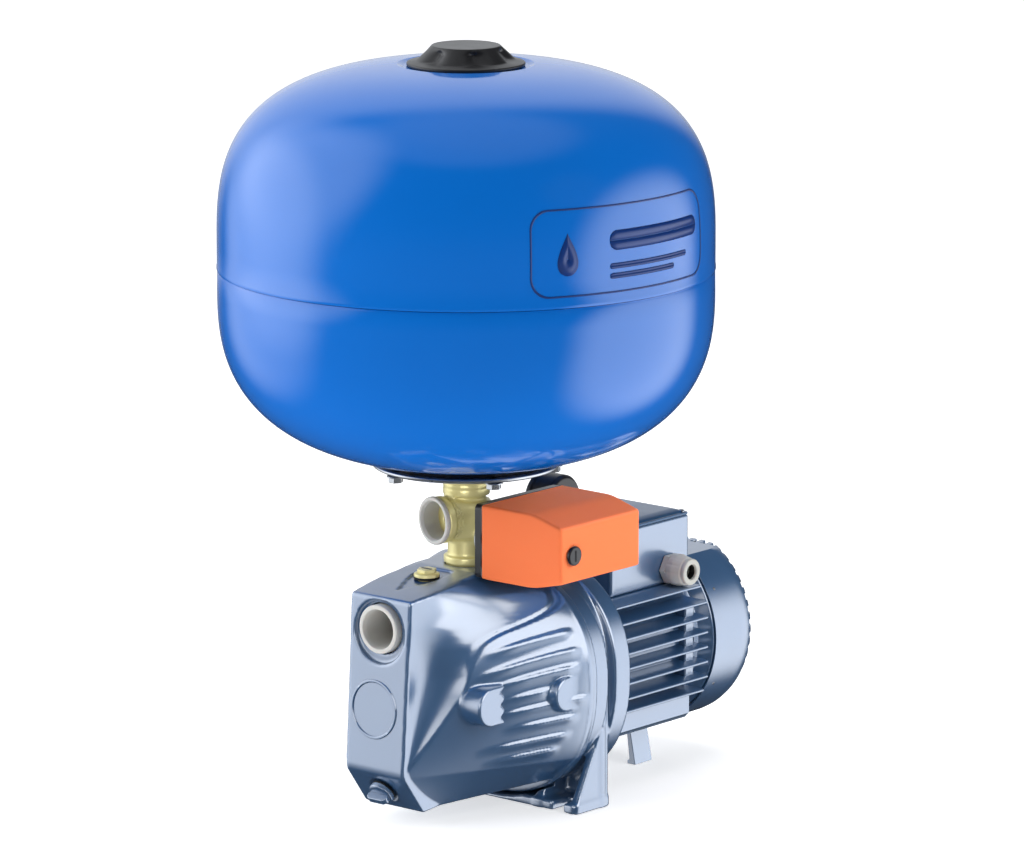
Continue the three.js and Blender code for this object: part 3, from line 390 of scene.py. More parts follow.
def revolved(profile, segments, wobble=None):
    """Points and faces of a closed [radius, height] loop turned about +Z. wobble may move the radii."""
    profile = np.asarray(profile, float)
    turns = np.linspace(0, 2 * math.pi, segments, endpoint=False)
    radius = np.repeat(profile[None, :, 0], segments, 0)
    height = np.repeat(profile[None, :, 1], segments, 0)
    if wobble is not None:
        radius = wobble(turns[:, None], radius, height)
    points = np.stack([radius * np.cos(turns[:, None]), radius * np.sin(turns[:, None]), height], -1)
    count = len(profile)
    faces = []
    for i in range(segments):
        j = (i + 1) % segments
        for k in range(count):
            m = (k + 1) % count
            quad = [i * count + k, j * count + k, j * count + m, i * count + m]
            on_axis = [profile[k, 0] < 1e-6, profile[m, 0] < 1e-6]
            if all(on_axis):
                continue
            if on_axis[0]:
                quad = [quad[0], quad[2], quad[3]]
            elif on_axis[1]:
                quad = [quad[0], quad[1], quad[2]]
            faces.append(quad)
    return points.reshape(-1, 3), faces


def outwards(work):
    """The points and faces of a bmesh, with its faces turned outwards."""
    bmesh.ops.recalc_face_normals(work, faces=work.faces)
    work.verts.index_update()
    points = np.array([v.co[:] for v in work.verts])
    faces = [[v.index for v in face.verts] for face in work.faces]
    work.free()
    return points, faces


def welded(points, faces):
    """Merges points that coincide and turns the faces outwards."""
    work = bmesh.new()
    made = [work.verts.new(p) for p in points]
    for face in faces:
        corners = [made[i] for i in face]
        if len(set(corners)) > 2:
            try:
                work.faces.new(corners)
            except ValueError:
                continue
    bmesh.ops.remove_doubles(work, verts=work.verts, dist=1e-4)
    loose = [v for v in work.verts if not v.link_faces]
    bmesh.ops.delete(work, geom=loose, context="VERTS")
    return outwards(work)


def lathe(name, profile, axis, at, material, stands_for=(), body="pump_body", segments=96, wobble=None,
          crease=CREASE):
    points, faces = welded(*revolved(profile, segments, wobble))
    mesh_object(name, onto(axis, points, at), faces, material, stands_for, body, crease=crease)


def prism_mesh(outline, low, high, hole=None):
    """Points and faces of an outline pushed from low to high along +Z, with an optional hole through it."""
    work = bmesh.new()

    def walls(loop):
        count = len(loop)
        bottom = [work.verts.new((p[0], p[1], low)) for p in loop]
        top = [work.verts.new((p[0], p[1], high)) for p in loop]
        for i in range(count):
            j = (i + 1) % count
            work.faces.new([bottom[i], bottom[j], top[j], top[i]])
        return bottom, top

    loops = [walls(outline)] + ([walls(hole)] if hole is not None else [])
    for end in (0, 1):
        rim = [v for loop in loops for v in loop[end]]
        members = set(rim)
        edges = [e for e in work.edges if e.verts[0] in members and e.verts[1] in members]
        if hole is None:
            work.faces.new(rim)
        else:
            bmesh.ops.triangle_fill(work, edges=edges, use_beauty=True)
    return outwards(work)


def prism(name, outline, axis, low, high, material, stands_for=(), body="pump_body", bevel=0.0, hole=None,
          at=(0, 0)):
    points, faces = prism_mesh(outline, low, high, hole)
    mesh_object(name, onto(axis, points, at), faces, material, stands_for, body, bevel)


def standing(points, faces):
    """Turns a prism made along +Z so that it runs along +Y and its outline is [x, z]."""
    return points[:, [0, 2, 1]], [face[::-1] for face in faces]


def set_on(points, origin, side, up, out):
    """Puts points on an origin, with their x along side, their y along up and their z along out."""
    points = np.asarray(points, float)
    return origin + points[:, :1] * side + points[:, 1:2] * up + points[:, 2:] * out


def ladder(rows, count):
    """The quads between rows of a closed mesh, each row with the same count of points."""
    return [[r * count + k, r * count + (k + 1) % count, (r + 1) * count + (k + 1) % count, (r + 1) * count + k]
            for r in range(rows - 1) for k in range(count)]


def band(inner, outer, low, high, radius):
    """The profile of a flat ring: a rectangle from inner to outer and low to high, its corners rounded."""
    return rounded([(inner, low), (outer, low), (outer, high), (inner, high)], radius)


def oblong(half_x, half_y, radius, steps=5):
    corners = [(-half_x, -half_y), (half_x, -half_y), (half_x, half_y), (-half_x, half_y)]
    return rounded(corners, radius, steps)


def dense(path, step, closed=True):
    """A path with points added, so that its gaps are about a step long at most."""
    made = []
    for p, q in zip(path, np.roll(path, -1, axis=0) if closed else path[1:]):
        parts = max(1, int(np.linalg.norm(q - p) / step))
        made += [p + (q - p) * k / parts for k in range(parts)]
    return np.array(made)


def circle(radius, count=64, centre=(0, 0)):
    turns = np.linspace(0, 2 * math.pi, count, endpoint=False)
    return np.stack([centre[0] + radius * np.cos(turns), centre[1] + radius * np.sin(turns)], 1)


# --- Castings as signed distances on a grid ---
class Grid:
    """A box of points. Shapes on it are arrays of distances, negative inside."""

    def __init__(self, low, high, step):
        self.low = np.array(low, float) - 2 * step
        self.step = step
        counts = np.ceil((np.array(high, float) + 2 * step - self.low) / step).astype(int) + 1
        axes = [(self.low[i] + step * np.arange(counts[i])).astype(np.float32) for i in range(3)]
        self.x, self.y, self.z = np.meshgrid(*axes, indexing="ij", sparse=True)
        self.shape = tuple(counts)


def both(a, b, fillet=0.0):
    """Where both shapes are, with a rounded outer edge. The fillet may vary over the grid."""
    if np.isscalar(fillet) and fillet == 0:
        return np.maximum(a, b)
    u, v = np.maximum(fillet + a, 0), np.maximum(fillet + b, 0)
    return np.minimum(-fillet, np.maximum(a, b)) + np.sqrt(u * u + v * v)


def either(a, b, fillet=0.0):
    """Where either shape is, with a rounded inner corner."""
    if np.isscalar(fillet) and fillet == 0:
        return np.minimum(a, b)
    u, v = np.maximum(fillet - a, 0), np.maximum(fillet - b, 0)
    return np.maximum(fillet, np.minimum(a, b)) - np.sqrt(u * u + v * v)


def without(a, b, fillet=0.0):
    return both(a, -b, fillet)


def slab(value, low, high):
    return np.abs(value - (low + high) / 2) - (high - low) / 2


def rod(grid, axis, radius, low, high, at, fillet=0.0):
    """A round rod along an axis. at holds the other two coordinates, in X, Y, Z order."""
    others = {"x": grid.x, "y": grid.y, "z": grid.z}
    along = others.pop(axis)
    a, b = others.values()
    return both(np.sqrt((a - at[0]) ** 2 + (b - at[1]) ** 2) - radius, slab(along, low, high), fillet)


def convex(a, b, corners, fillet=0.0):
    """A convex polygon of two coordinates, its corners listed clockwise as seen with a to the right.

    fillet may be a list: the rounding between each side and those before it.
    """
    shape = None
    fillets = fillet if isinstance(fillet, list) else [fillet] * len(corners)
    for (a0, b0), (a1, b1), edge in zip(corners, corners[1:] + corners[:1], fillets):
        length = math.hypot(a1 - a0, b1 - b0)
        side = ((a - a0) * (b0 - b1) + (b - b0) * (a1 - a0)) / length
        shape = side if shape is None else both(shape, side, edge)
    return shape


def smooth(value, start, end):
    t = np.clip((value - start) / (end - start), 0, 1)
    return t * t * (3 - 2 * t)


def housing(x, dz, half_width, up, down, power):
    """How far out a point is in a rounded housing's outline, 1 on the outline, and its distance to it."""
    height = np.where(dz > 0, up, down)
    share = (np.abs(x / half_width) ** power + np.abs(dz / height) ** power) ** (1 / power)
    share = np.maximum(share, 1e-3)
    return share, np.sqrt(x * x + dz * dz) * (1 - 1 / share)


CORNERS = [(i, j, k) for i in (0, 1) for j in (0, 1) for k in (0, 1)]


def sampled(values, grid, points):
    """Values at points between the grid's own, and the slope there."""
    place = (points - grid.low) / grid.step
    cell = np.clip(np.floor(place).astype(int), 0, np.array(grid.shape) - 2)
    t = place - cell
    total, slope = np.zeros(len(points)), np.zeros(points.shape)
    for corner in CORNERS:
        value = values[tuple((cell + corner).T)]
        share = np.where(corner, t, 1 - t)
        total += value * share.prod(1)
        for axis in range(3):
            slope[:, axis] += value * np.delete(share, axis, 1).prod(1) * (1 if corner[axis] else -1)
    return total, slope / grid.step


def skin(grid, values):
    """The zero surface of the distances, as points and quads."""
    values = np.broadcast_to(values, grid.shape).astype(np.float32)
    inside = values < 0
    count = np.zeros(tuple(n - 1 for n in grid.shape), np.int8)

    def shifted(array, i, j, k):
        nx, ny, nz = grid.shape
        return array[i : nx - 1 + i, j : ny - 1 + j, k : nz - 1 + k]

    for offset in CORNERS:
        count += shifted(inside, *offset)
    cells = np.argwhere((count > 0) & (count < 8))
    number = np.full(count.shape, -1, np.int64)
    number[tuple(cells.T)] = np.arange(len(cells))
    at_corner = {o: values[cells[:, 0] + o[0], cells[:, 1] + o[1], cells[:, 2] + o[2]] for o in CORNERS}
    total, hits = np.zeros((len(cells), 3)), np.zeros(len(cells))
    for first in CORNERS:
        for axis in range(3):
            if first[axis]:
                continue
            second = tuple(c + (i == axis) for i, c in enumerate(first))
            a, b = at_corner[first], at_corner[second]
            crosses = (a < 0) != (b < 0)
            t = np.where(crosses, a / np.where(crosses, a - b, 1), 0)
            step = np.zeros((len(cells), 3))
            step[:] = first
            step[:, axis] += t
            total += step * crosses[:, None]
            hits += crosses
    points = (cells + total / hits[:, None]) * grid.step + grid.low
    faces = []
    for axis in range(3):
        u, v = [(1, 2), (2, 0), (0, 1)][axis]
        ahead = np.roll(inside, -1, axis)
        changes = np.argwhere(inside != ahead)
        keep = (changes[:, axis] < grid.shape[axis] - 1) & (changes[:, u] > 0) & (changes[:, v] > 0)
        keep &= (changes[:, u] < grid.shape[u] - 1) & (changes[:, v] < grid.shape[v] - 1)
        changes = changes[keep]
        quad = []
        for back_u, back_v in ((1, 1), (0, 1), (0, 0), (1, 0)):
            cell = changes.copy()
            cell[:, u] -= back_u
            cell[:, v] -= back_v
            quad.append(number[tuple(cell.T)])
        quad = np.stack(quad, 1)
        flip = ~inside[tuple(changes.T)]
        quad[flip] = quad[flip][:, ::-1]
        faces.append(quad)
    faces = np.concatenate(faces)
    for _ in range(3):
        distance, slope = sampled(values, grid, points)
        square = np.maximum((slope**2).sum(1), 0.05)
        move = -(distance / square)[:, None] * slope
        size = np.linalg.norm(move, axis=1, keepdims=True)
        points += move * np.minimum(1, 0.4 * grid.step / np.maximum(size, 1e-9))
    return points, faces


def casting(name, grid, values, material, stands_for, body="pump_body"):
    points, faces = skin(grid, values)
    return mesh_object(name, points, faces, material, stands_for, body, crease=math.pi)


# --- Pump casing ---
FACE_HALF_WIDTH = 28
FACE_TOP = (-132, 170)  # y, z
FACE_FOOT = (-140, 42)
CHAMFER_FOOT = (-118, 12)
DECK_Z = 180
RING_FRONT, RING_REAR = -12, -3.3
RING = {"half_width": 95.8, "up": 83, "down": 91.8, "power": 2.3}
PANEL = {"length": 121, "taper": 0.653, "bulge": 1.15, "tuck": 0.42}
BREAK_Z = 41  # the crease along the casing's lower side
COLUMN_EDGE_Y = -137
HOLLOW_POWER = 3
PANEL_EDGE = [  # height, place along the shaft
    (36, -141), (42, -139), (107, -98), (121, -95), (139, -82), (147, -50), (151, -24), (158, -13), (170, -12),
]
FLOW_LINES = [  # height at the ring, drop towards the front, where it starts and ends along the shaft
    (139, 13, -92, -28), (126, 14, -96, -26), (114, 13, -88, -30), (101, 12, -80, -50),
    (90, 11, -84, -22), (77, 10, -76, -30), (64, 9, -92, -34), (53, 8, -86, -40),
]
SUCTION_Z = 147
FILLER_Y = -82
MEDALLION_Z = 88
WHEEL_CHAMBER = {"radius": 70, "front": -45}
CASING_BOLT_CIRCLE = 78


def bolt_places():
    turns = [math.radians(a) for a in (45, 135, 225, 315)]
    return [(CASING_BOLT_CIRCLE * math.cos(t), SHAFT_Z + CASING_BOLT_CIRCLE * math.sin(t)) for t in turns]


def drain_axis():
    """The middle of the sloping face under the front, and the direction that it looks in."""
    middle = np.array([0, (FACE_FOOT[0] + CHAMFER_FOOT[0]) / 2, (FACE_FOOT[1] + CHAMFER_FOOT[1]) / 2])
    along = np.array([0, CHAMFER_FOOT[0] - FACE_FOOT[0], CHAMFER_FOOT[1] - FACE_FOOT[1]], float)
    out = np.array([0, along[2], -along[1]]) / np.linalg.norm(along)
    return middle, out


def leaning_rod(grid, centre, out, radius, low, high, fillet=0.0):
    """A rod on an axis in the Y-Z plane."""
    along = (grid.y - centre[1]) * out[1] + (grid.z - centre[2]) * out[2]
    across = (grid.y - centre[1]) * out[2] - (grid.z - centre[2]) * out[1]
    return both(np.sqrt(grid.x**2 + across**2) - radius, slab(along, low, high), fillet)


def ring_half_width(z):
    """How wide the casing is at the joint ring, at a height."""
    dz = z - SHAFT_Z
    height = np.where(dz > 0, RING["up"], RING["down"])
    share = np.clip(np.abs(dz) / height, 0, 1) ** RING["power"]
    return RING["half_width"] * np.maximum(1 - share, 0) ** (1 / RING["power"])


def panel_half_width(y, z):
    """The full side of the casing, from the joint ring forwards: almost a cone, a little rounded."""
    forward = np.clip((RING_FRONT - y) / PANEL["length"], 0, 1.2)
    full = ring_half_width(np.maximum(z, BREAK_Z)) * (1 - PANEL["taper"] * forward ** PANEL["bulge"])
    return full * (1 - PANEL["tuck"] * np.clip((BREAK_Z - z) / 30, 0, 1.2))


def panel_edge(z):
    """Where the full panel of the side begins, at a height: the corners of the line are softened."""
    heights, edges = zip(*PANEL_EDGE)
    return sum(np.interp(z + shift, heights, edges) for shift in (-6, -3, 0, 3, 6)) / 5


def hollow_half_width(y, z):
    """The hollow flare between the front column and the full panel. It stands off the panel behind its edge."""
    edge = panel_edge(z)
    along = np.clip((y - COLUMN_EDGE_Y) / np.maximum(edge - COLUMN_EDGE_Y, 1), 0, 1)
    at_edge = np.maximum(panel_half_width(edge, z), FACE_HALF_WIDTH + 1)
    hollow = FACE_HALF_WIDTH + 0.06 * (y - COLUMN_EDGE_Y) * (1 - along)
    hollow = hollow + (at_edge - FACE_HALF_WIDTH) * along ** (HOLLOW_POWER - 1.6 * smooth(z, 110, 150))
    behind = np.maximum(panel_half_width(y, z), FACE_HALF_WIDTH) + 1.5 * (y - edge)
    return np.where(y < edge, hollow, behind)


def flow_ribs(y, z):
    """Raised flow lines on the full panel, sharp above and soft below, in millimetres."""
    back = np.clip((-14 - y) / 80, 0, 1.3)
    behind_edge = smooth(y - panel_edge(z), 0, 9)
    height = 0.0
    for end_z, drop, start, reach in FLOW_LINES:
        across = z - (end_z - drop * back**1.6)
        crest = np.where(across > 0, np.exp(-((across / 1.3) ** 2)), np.exp(-((across / 4.6) ** 2)))
        height = height + 2.1 * crest * smooth(y, start, start + 30) * (1 - smooth(y, reach, reach + 12))
    return height * behind_edge


def casing_bosses(grid, shape):
    """Two round bosses on the switch's side, cut off towards the motor in three scallops."""
    for y, z, radius, reach in ((-90, 92, 14, 70), (-31, 94, 12.5, 91)):
        ahead = np.minimum(grid.y - y, 0)
        outline = np.sqrt(ahead**2 + (grid.z - z) ** 2) - radius
        boss = both(outline, both(grid.x - reach, 24 - grid.x), 1.1)
        lobes = 4.5 * np.abs(np.sin((grid.z - z) * math.pi / (0.66 * radius)))
        boss = both(boss, (grid.y - (y + 0.62 * radius) - lobes) * 0.6, 0.6)
        shape = either(shape, boss, 1.2)
    return shape


def casing_outside(grid):
    x, y, z = grid.x, grid.y, grid.z
    ax, dz = np.abs(x), z - SHAFT_Z
    side_view = convex(y, z, [FACE_TOP, (-62, DECK_Z), (-8, DECK_Z), (-8, 22), CHAMFER_FOOT, FACE_FOOT], 2)
    panel = ax - np.maximum(panel_half_width(y, z), FACE_HALF_WIDTH) - flow_ribs(y, z)
    panel = panel - 14 * smooth(panel_edge(z) - y, 2, 18)
    side = both(panel, ax - hollow_half_width(y, z), 1.2 + 6 * smooth(z, 108, 146)) * 0.86
    body = both(side, side_view, 1.4)
    body = both(body, y - RING_REAR)
    _, ring_distance = housing(x, dz, RING["half_width"], RING["up"], RING["down"], RING["power"])
    deck_top = np.minimum(DECK_Z, FACE_TOP[1] + (y + 131) * (DECK_Z - FACE_TOP[1]) / 69)
    spread = 0.055 * (y + 133) + 12 * smooth(y, -60, -10)
    deck_side = ax - 28 - spread * smooth(z, 138, 172)
    deck = both(both(z - deck_top, deck_side, 2 + 6 * smooth(y, -128, -104)), both(-131 - y, y + 14, 2), 2)
    deck = both(deck, 130 - z)
    body = either(body, deck)
    body = either(body, both(ring_distance, slab(y, RING_FRONT, RING_REAR), 1.2), 1.5)
    return casing_bosses(grid, body)


def pump_casing():
    low, high = span("pump_casing")
    grid = Grid(low, high, 1.2)
    x, y, z = grid.x, grid.y, grid.z
    shape = casing_outside(grid)
    bores = [  # axis, radius, start, end, place, rounding of the mouth
        ("y", 23.4, -160, FACE_TOP[0] + 1.4, [0, SUCTION_Z - 2.2], 0.8),
        ("y", 18.6, -160, -118, [0, SUCTION_Z], 0.6),
        ("z", 15.8, DECK_Z - 8, 200, [0, PORT_Y], 1),
        ("z", 12, SHAFT_Z, 200, [0, PORT_Y], 0),
        ("z", 10.6, DECK_Z - 5, 200, [0, FILLER_Y], 0.8),
        ("z", 6.9, 150, 200, [0, FILLER_Y], 0),
    ]
    for axis, radius, start, end, place, fillet in bores:
        shape = without(shape, rod(grid, axis, radius, start, end, place), fillet)
    wedge = both((np.abs(x) - 0.45 * (y + 114)) * 0.9, both(np.abs(x) - 12.5, y + 66, 5), 3)
    shape = without(shape, both(wedge, 168.6 + 0.145 * (y + 131) - z), 0.8)
    middle, out = drain_axis()
    shape = without(shape, leaning_rod(grid, middle, out, 11, -2, 30), 0.8)
    shape = without(shape, leaning_rod(grid, middle, out, 5.4, -14, 20))
    chamber = both(np.abs(x) - 22, both(slab(y, -128, -40), slab(z, 34, 158)), 5)
    wheel = rod(grid, "y", WHEEL_CHAMBER["radius"], WHEEL_CHAMBER["front"], 5, [0, SHAFT_Z], 3)
    shape = without(shape, either(chamber, wheel))
    for place in bolt_places():
        shape = without(shape, rod(grid, "y", 4.1, -10.5, 5, place))
    casting("casing_casting", grid, shape, "cast_enamel", ["pump_casing"])


def face_medallion():
    """A plain round raised rim on the front face, under the suction port."""
    rim = [(19.2, -1), (19.6, 0.6), (20.2, 0.95), (21.5, 0.95), (22.2, -1)]
    points, faces = welded(*revolved(rounded(rim, [0, 0.3, 0.3, 0.4, 0]), 120))
    top, foot = np.array([0, *FACE_TOP], float), np.array([0, *FACE_FOOT], float)
    up = (top - foot) / np.linalg.norm(top - foot)
    out = np.array([0, -up[2], up[1]])
    middle = foot + up * (MEDALLION_Z - FACE_FOOT[1]) + [-2.5, 0, 0]
    mesh_object("face_medallion", set_on(points, middle, ACROSS, up, out), faces, "cast_enamel")


def ports_and_plugs():
    front = FACE_TOP[0] - 3.5
    profile = rounded(
        [(14.6, front), (17.9, front), (17.9, front + 10), (16.9, front + 10), (15.6, front + 33),
         (13.1, front + 33), (13.9, front + 4)],
        [0.8, 0.9, 0, 0, 0, 0, 0.6],
    )
    lathe("suction_sleeve", profile, "y", (0, SUCTION_Z), "light_plastic", ["suction_port_insert"])
    seat = DECK_Z - 5
    gasket = band(6.8, 9.5, seat + 0.3, seat + 1.8, 0.5)
    lathe("filler_gasket_ring", gasket, "z", (0, FILLER_Y), "rubber", ["filler_plug_gasket"], "filler_gasket")
    filler_plug(seat)
    drain_plug()


def thread(start, count, pitch, core, crest, flat):
    """The profile of a thread's ridges, from start upwards. flat is where the top of a ridge ends."""
    ridges = []
    for i in range(count):
        foot = start + i * pitch
        ridges += [(core, foot), (crest, foot + 0.45), (crest, foot + flat), (core, foot + flat + 0.45)]
    return ridges


def filler_plug(seat):
    """A brass plug: threaded shank, round flange, hexagon with a cross slot; the slot is a thin dark sheet of
    painted shade on the hexagon's top.
    """
    flange = rounded([(9.4, seat + 2.1), (9.4, seat + 4.2), (7.6, seat + 5)], [0.3, 0.8, 0], closed=False)
    profile = [(0, seat - 12), (5.4, seat - 12)] + thread(seat - 11, 9, 1.35, 6.0, 6.5, 0.7)
    profile += [(6.0, seat + 2.1)] + flange.tolist() + [(0, seat + 5)]
    lathe("filler_plug_body", profile, "z", (0, FILLER_Y), "brass", ["filler_plug"], "filler_plug")
    prism("filler_plug_hexagon", circle(7.4, 6), "z", seat + 4.9, seat + 7.6, "brass", body="filler_plug",
          bevel=0.5, at=(0, FILLER_Y))
    # Not a cut: a thin dark sheet on the hexagon's top paints the slot's shade.
    prism("filler_plug_slot_painted_shade", oblong(4.6, 1, 0.5), "z", seat + 7.55, seat + 7.95, "dark_plastic",
          body="filler_plug", bevel=0.1, at=(0, FILLER_Y))


def drain_plug():
    """A plug with a winged head, on the sloping face."""
    middle, out = drain_axis()
    place = (middle, ACROSS, np.cross(out, ACROSS), out)
    points, faces = welded(*revolved(band(5.3, 9.9, 0.2, 1.7, 0.5), 64))
    mesh_object("drain_gasket_ring", set_on(points, *place), faces, "rubber", ["drain_plug_gasket"],
                "drain_gasket")
    head = rounded([(9.8, 1.9), (9.8, 5.2), (8.2, 6.0)], [0.5, 1.2, 0.5], closed=False).tolist()
    profile = [(0, -11.5), (4.4, -11.5)] + thread(-11, 8, 1.3, 4.5, 4.95, 0.65)
    profile += [(4.5, 0.3), (4.5, 1.9)] + head + [(0, 6.0)]
    points, faces = welded(*revolved(profile, 64))
    mesh_object("drain_plug_body", set_on(points, *place), faces, "cast_enamel", ["drain_plug"], "drain_plug")
    wing = rounded([(-9.2, 5.6), (9.2, 5.6), (9.2, 9.5), (6.5, 11.7), (-6.5, 11.7), (-9.2, 9.5)], 1.6)
    points, faces = standing(*prism_mesh(wing, -2.3, 2.3))
    mesh_object("drain_plug_wing", set_on(points, *place), faces, "cast_enamel", body="drain_plug", bevel=0.7)


# --- Motor bracket with its foot ---
BRACKET = {"plate_front": 11, "plate_rear": 20, "rear": 37, "half_width": 87}
FOOT = {"front": -18, "thickness": 7, "slot_x": 70, "slot_width": 10, "slot_end": -4}


def motor_bracket():
    low, high = span("motor_bracket")
    grid = Grid(low, high, 1.3)
    x, y, z = grid.x, grid.y, grid.z
    ax, dz = np.abs(x), z - SHAFT_Z
    _, outline = housing(x, dz, BRACKET["half_width"], 83, 83, 2.4)
    arch = np.where(dz > 0, outline, ax - BRACKET["half_width"])
    plate = both(both(arch, -z), slab(y, BRACKET["plate_front"], BRACKET["plate_rear"]), 2)
    _, ring = housing(x, dz, 93.5, 80.5, 89.5, 2.3)
    register = both(ring, slab(y, -1, 11.8), 1.2)
    _, drum_outline = housing(x, dz, 94, 82, 90, 2.3)
    drum = both(drum_outline, slab(y, 19, BRACKET["rear"]), 2.2)
    hollow = both(drum_outline + 5, 20 - y, 1.5)
    foot_side = both(ax - BRACKET["half_width"], slab(y, FOOT["front"], BRACKET["plate_rear"]), 4)
    foot = both(foot_side, slab(z, 0, FOOT["thickness"]), 1)
    shape = either(either(plate, register, 1.5), without(drum, hollow, 1), 1.5)
    rise = both(z - 7 - np.maximum(y + 16, 0) * 1.9, y - 14)
    for place in (50, 83.5):
        web = both(both(np.abs(ax - place) - 3.2, -16 - y, 1.5), both(rise, -z, 1), 1.5)
        shape = either(shape, web, 4)
    shape = either(shape, foot, 4)
    shape = either(shape, rod(grid, "y", 23, 19, 36, [0, SHAFT_Z], 1), 2)
    _, under = housing(x, dz, 97.3, 84.3, 93.3, 2.3)
    shape = without(shape, both(under, y + 1.2), 0.6)
    joint_rim = both(both(ring, 76 - np.sqrt(x * x + dz * dz)), np.abs(y) - 2.9, 0.6)
    shape = either(shape, joint_rim)
    slot_gap = both(np.abs(ax - FOOT["slot_x"]) - FOOT["slot_width"] / 2, y - FOOT["slot_end"])
    slot_round = np.sqrt((ax - FOOT["slot_x"]) ** 2 + (y - FOOT["slot_end"]) ** 2) - FOOT["slot_width"] / 2
    shape = without(shape, both(either(slot_gap, slot_round), z - 30), 1.4)
    for radius, start, end, fillet in ((15.3, -3, 3.3, 0), (8.6, -3, 40, 0), (17.5, 23.7, 40, 0.6)):
        shape = without(shape, rod(grid, "y", radius, start, end, [0, SHAFT_Z]), fillet)
    for place in bolt_places():
        shape = without(shape, rod(grid, "y", 4.1, -10, 30, place))
    shape = both(shape, -z, 0.5)
    casting("bracket_casting", grid, shape, "cast_enamel", ["motor_bracket"])


def casing_bolts():
    for i, (x, z) in enumerate(bolt_places()):
        head = BRACKET["plate_rear"] + 0.3
        washer = band(4.2, 7.4, head, head + 1.2, 0.3)
        lathe(f"casing_washer_{i + 1}", washer, "y", (x, z), "bright_steel", segments=40)
        hex_bolt(f"casing_bolt_{i + 1}", "y", (x, z), head + 1.3, 4.9, 6.2, -10, 3.8, [f"casing_bolt_{i + 1}"])


def hex_bolt(name, axis, at, seat, height, corner, shank_end, shank, stands_for, material="bright_steel"):
    """A hexagon head on a shank. The head grows from seat by height, which is negative downwards."""
    up = 1 if height > 0 else -1
    low, high = sorted([seat, seat + height])
    prism(name, circle(corner, 6), axis, low, high, material, stands_for, bevel=0.45, at=at)
    step = 1.25
    count = max(2, int(abs(seat - shank_end) / step) - 1)
    profile = [(0, seat), (shank, seat)]
    for i in range(count):
        z = seat - up * (1 + i * step)
        profile += [(shank, z), (shank * 0.88, z - up * step / 2)]
    profile += [(shank * 0.8, shank_end), (0, shank_end)]
    lathe(name + "_shank", profile, axis, at, material, segments=32)


# --- Motor ---
FIN_LOWEST, FIN_PITCH, FIN_COUNT = 59.5, 11.3, 8
FIN_REACH, FIN_ENVELOPE = 75, 80
FIN_TIP = [(1.2, -1.15), (0.35, -0.85), (0, 0), (0.35, 0.85), (1.2, 1.15)]  # inwards, upwards
FRAME_RADIUS, FRAME_BORE = 60, 55.4
FRAME_FRONT, FRAME_REAR = 28.3, 150


def fin_outline():
    """Half of the frame's outline as seen from behind, from the bottom middle up, as [x, height]."""
    half = [(0, 36.0), (53, 36.0), (57, 40.0), (57, FIN_LOWEST - 1.7)]
    for i in range(FIN_COUNT):
        z = FIN_LOWEST + i * FIN_PITCH
        reach = min(FIN_REACH, math.sqrt(FIN_ENVELOPE**2 - (z - SHAFT_Z) ** 2))
        root = math.sqrt(FRAME_RADIUS**2 - (z - SHAFT_Z) ** 2)
        tip = [(reach - back, dz) for back, dz in FIN_TIP]
        if i:
            half += [(root + 1.0, z - 2.6), (root + 2.4, z - 1.8)]
        half += [(x, z + dz) for x, dz in tip] + [(root + 2.4, z + 1.8), (root + 0.2, z + 2.8)]
        middle = z + FIN_PITCH / 2 - SHAFT_Z
        if i < FIN_COUNT - 1:
            half.append((math.sqrt(FRAME_RADIUS**2 - middle**2), middle + SHAFT_Z))
    top = math.asin((FIN_LOWEST + (FIN_COUNT - 1) * FIN_PITCH + 3.2 - SHAFT_Z) / FRAME_RADIUS)
    for i in range(9):
        turn = top + (math.pi / 2 - top) * i / 8
        half.append((FRAME_RADIUS * math.cos(turn), SHAFT_Z + FRAME_RADIUS * math.sin(turn)))
    return half


def motor_frame():
    half = fin_outline()
    outline = half + [(-x, z) for x, z in half[-2:0:-1]]
    hole = circle(FRAME_BORE, 96, (0, SHAFT_Z))
    points, faces = standing(*prism_mesh(outline, FRAME_FRONT, FRAME_REAR, hole))
    mesh_object("frame_fins", points, faces, "cast_enamel", ["motor_frame"], bevel=0.35)
    for side, name in ((1, "right"), (-1, "left")):
        outer = sorted([side * 52, side * 66])
        bar = band(outer[0], outer[1], 134, 144, 1.5)
        prism(f"frame_bridge_{name}", bar, "z", 66, 124, "cast_enamel", bevel=0.8)


def rear_end_shield():
    front = FRAME_REAR + 0.3
    disc, rim, end = front + 5, front + 11, front + 18.8
    profile = rounded(
        [(8.6, front - 4), (8.6, front + 12), (22, front + 12), (22, disc), (57, disc), (67, rim), (67, end),
         (70.8, end), (70.8, rim), (61, disc), (61, front), (54.5, front), (54.5, front - 4.7)],
        [0, 0, 1.5, 2, 2, 2, 0.6, 0.6, 2, 1, 0.8, 0, 0.6],
    )
    points, faces = welded(*revolved(profile, 160))
    roof = COVER["roof"] - COVER["wall"] - 0.6 - SHAFT_Z
    highest = np.where(points[:, 2] > rim - 1, roof, 59.6)
    points[:, 0] = np.minimum(points[:, 0], highest)
    mesh_object("end_shield", onto("y", points, (0, SHAFT_Z)), faces, "cast_enamel", ["rear_end_shield"])


COVER = {"radius": 72.9, "front": 162.1, "shoulder": 196, "rear": 217.8, "wall": 1.6, "roof": 155.9}
GRILLE_SLOTS = 44
SLOTTED_RADII = (48, 34, 26, 20)
GRILLE_RING = 43  # inside this radius every second slot is left out


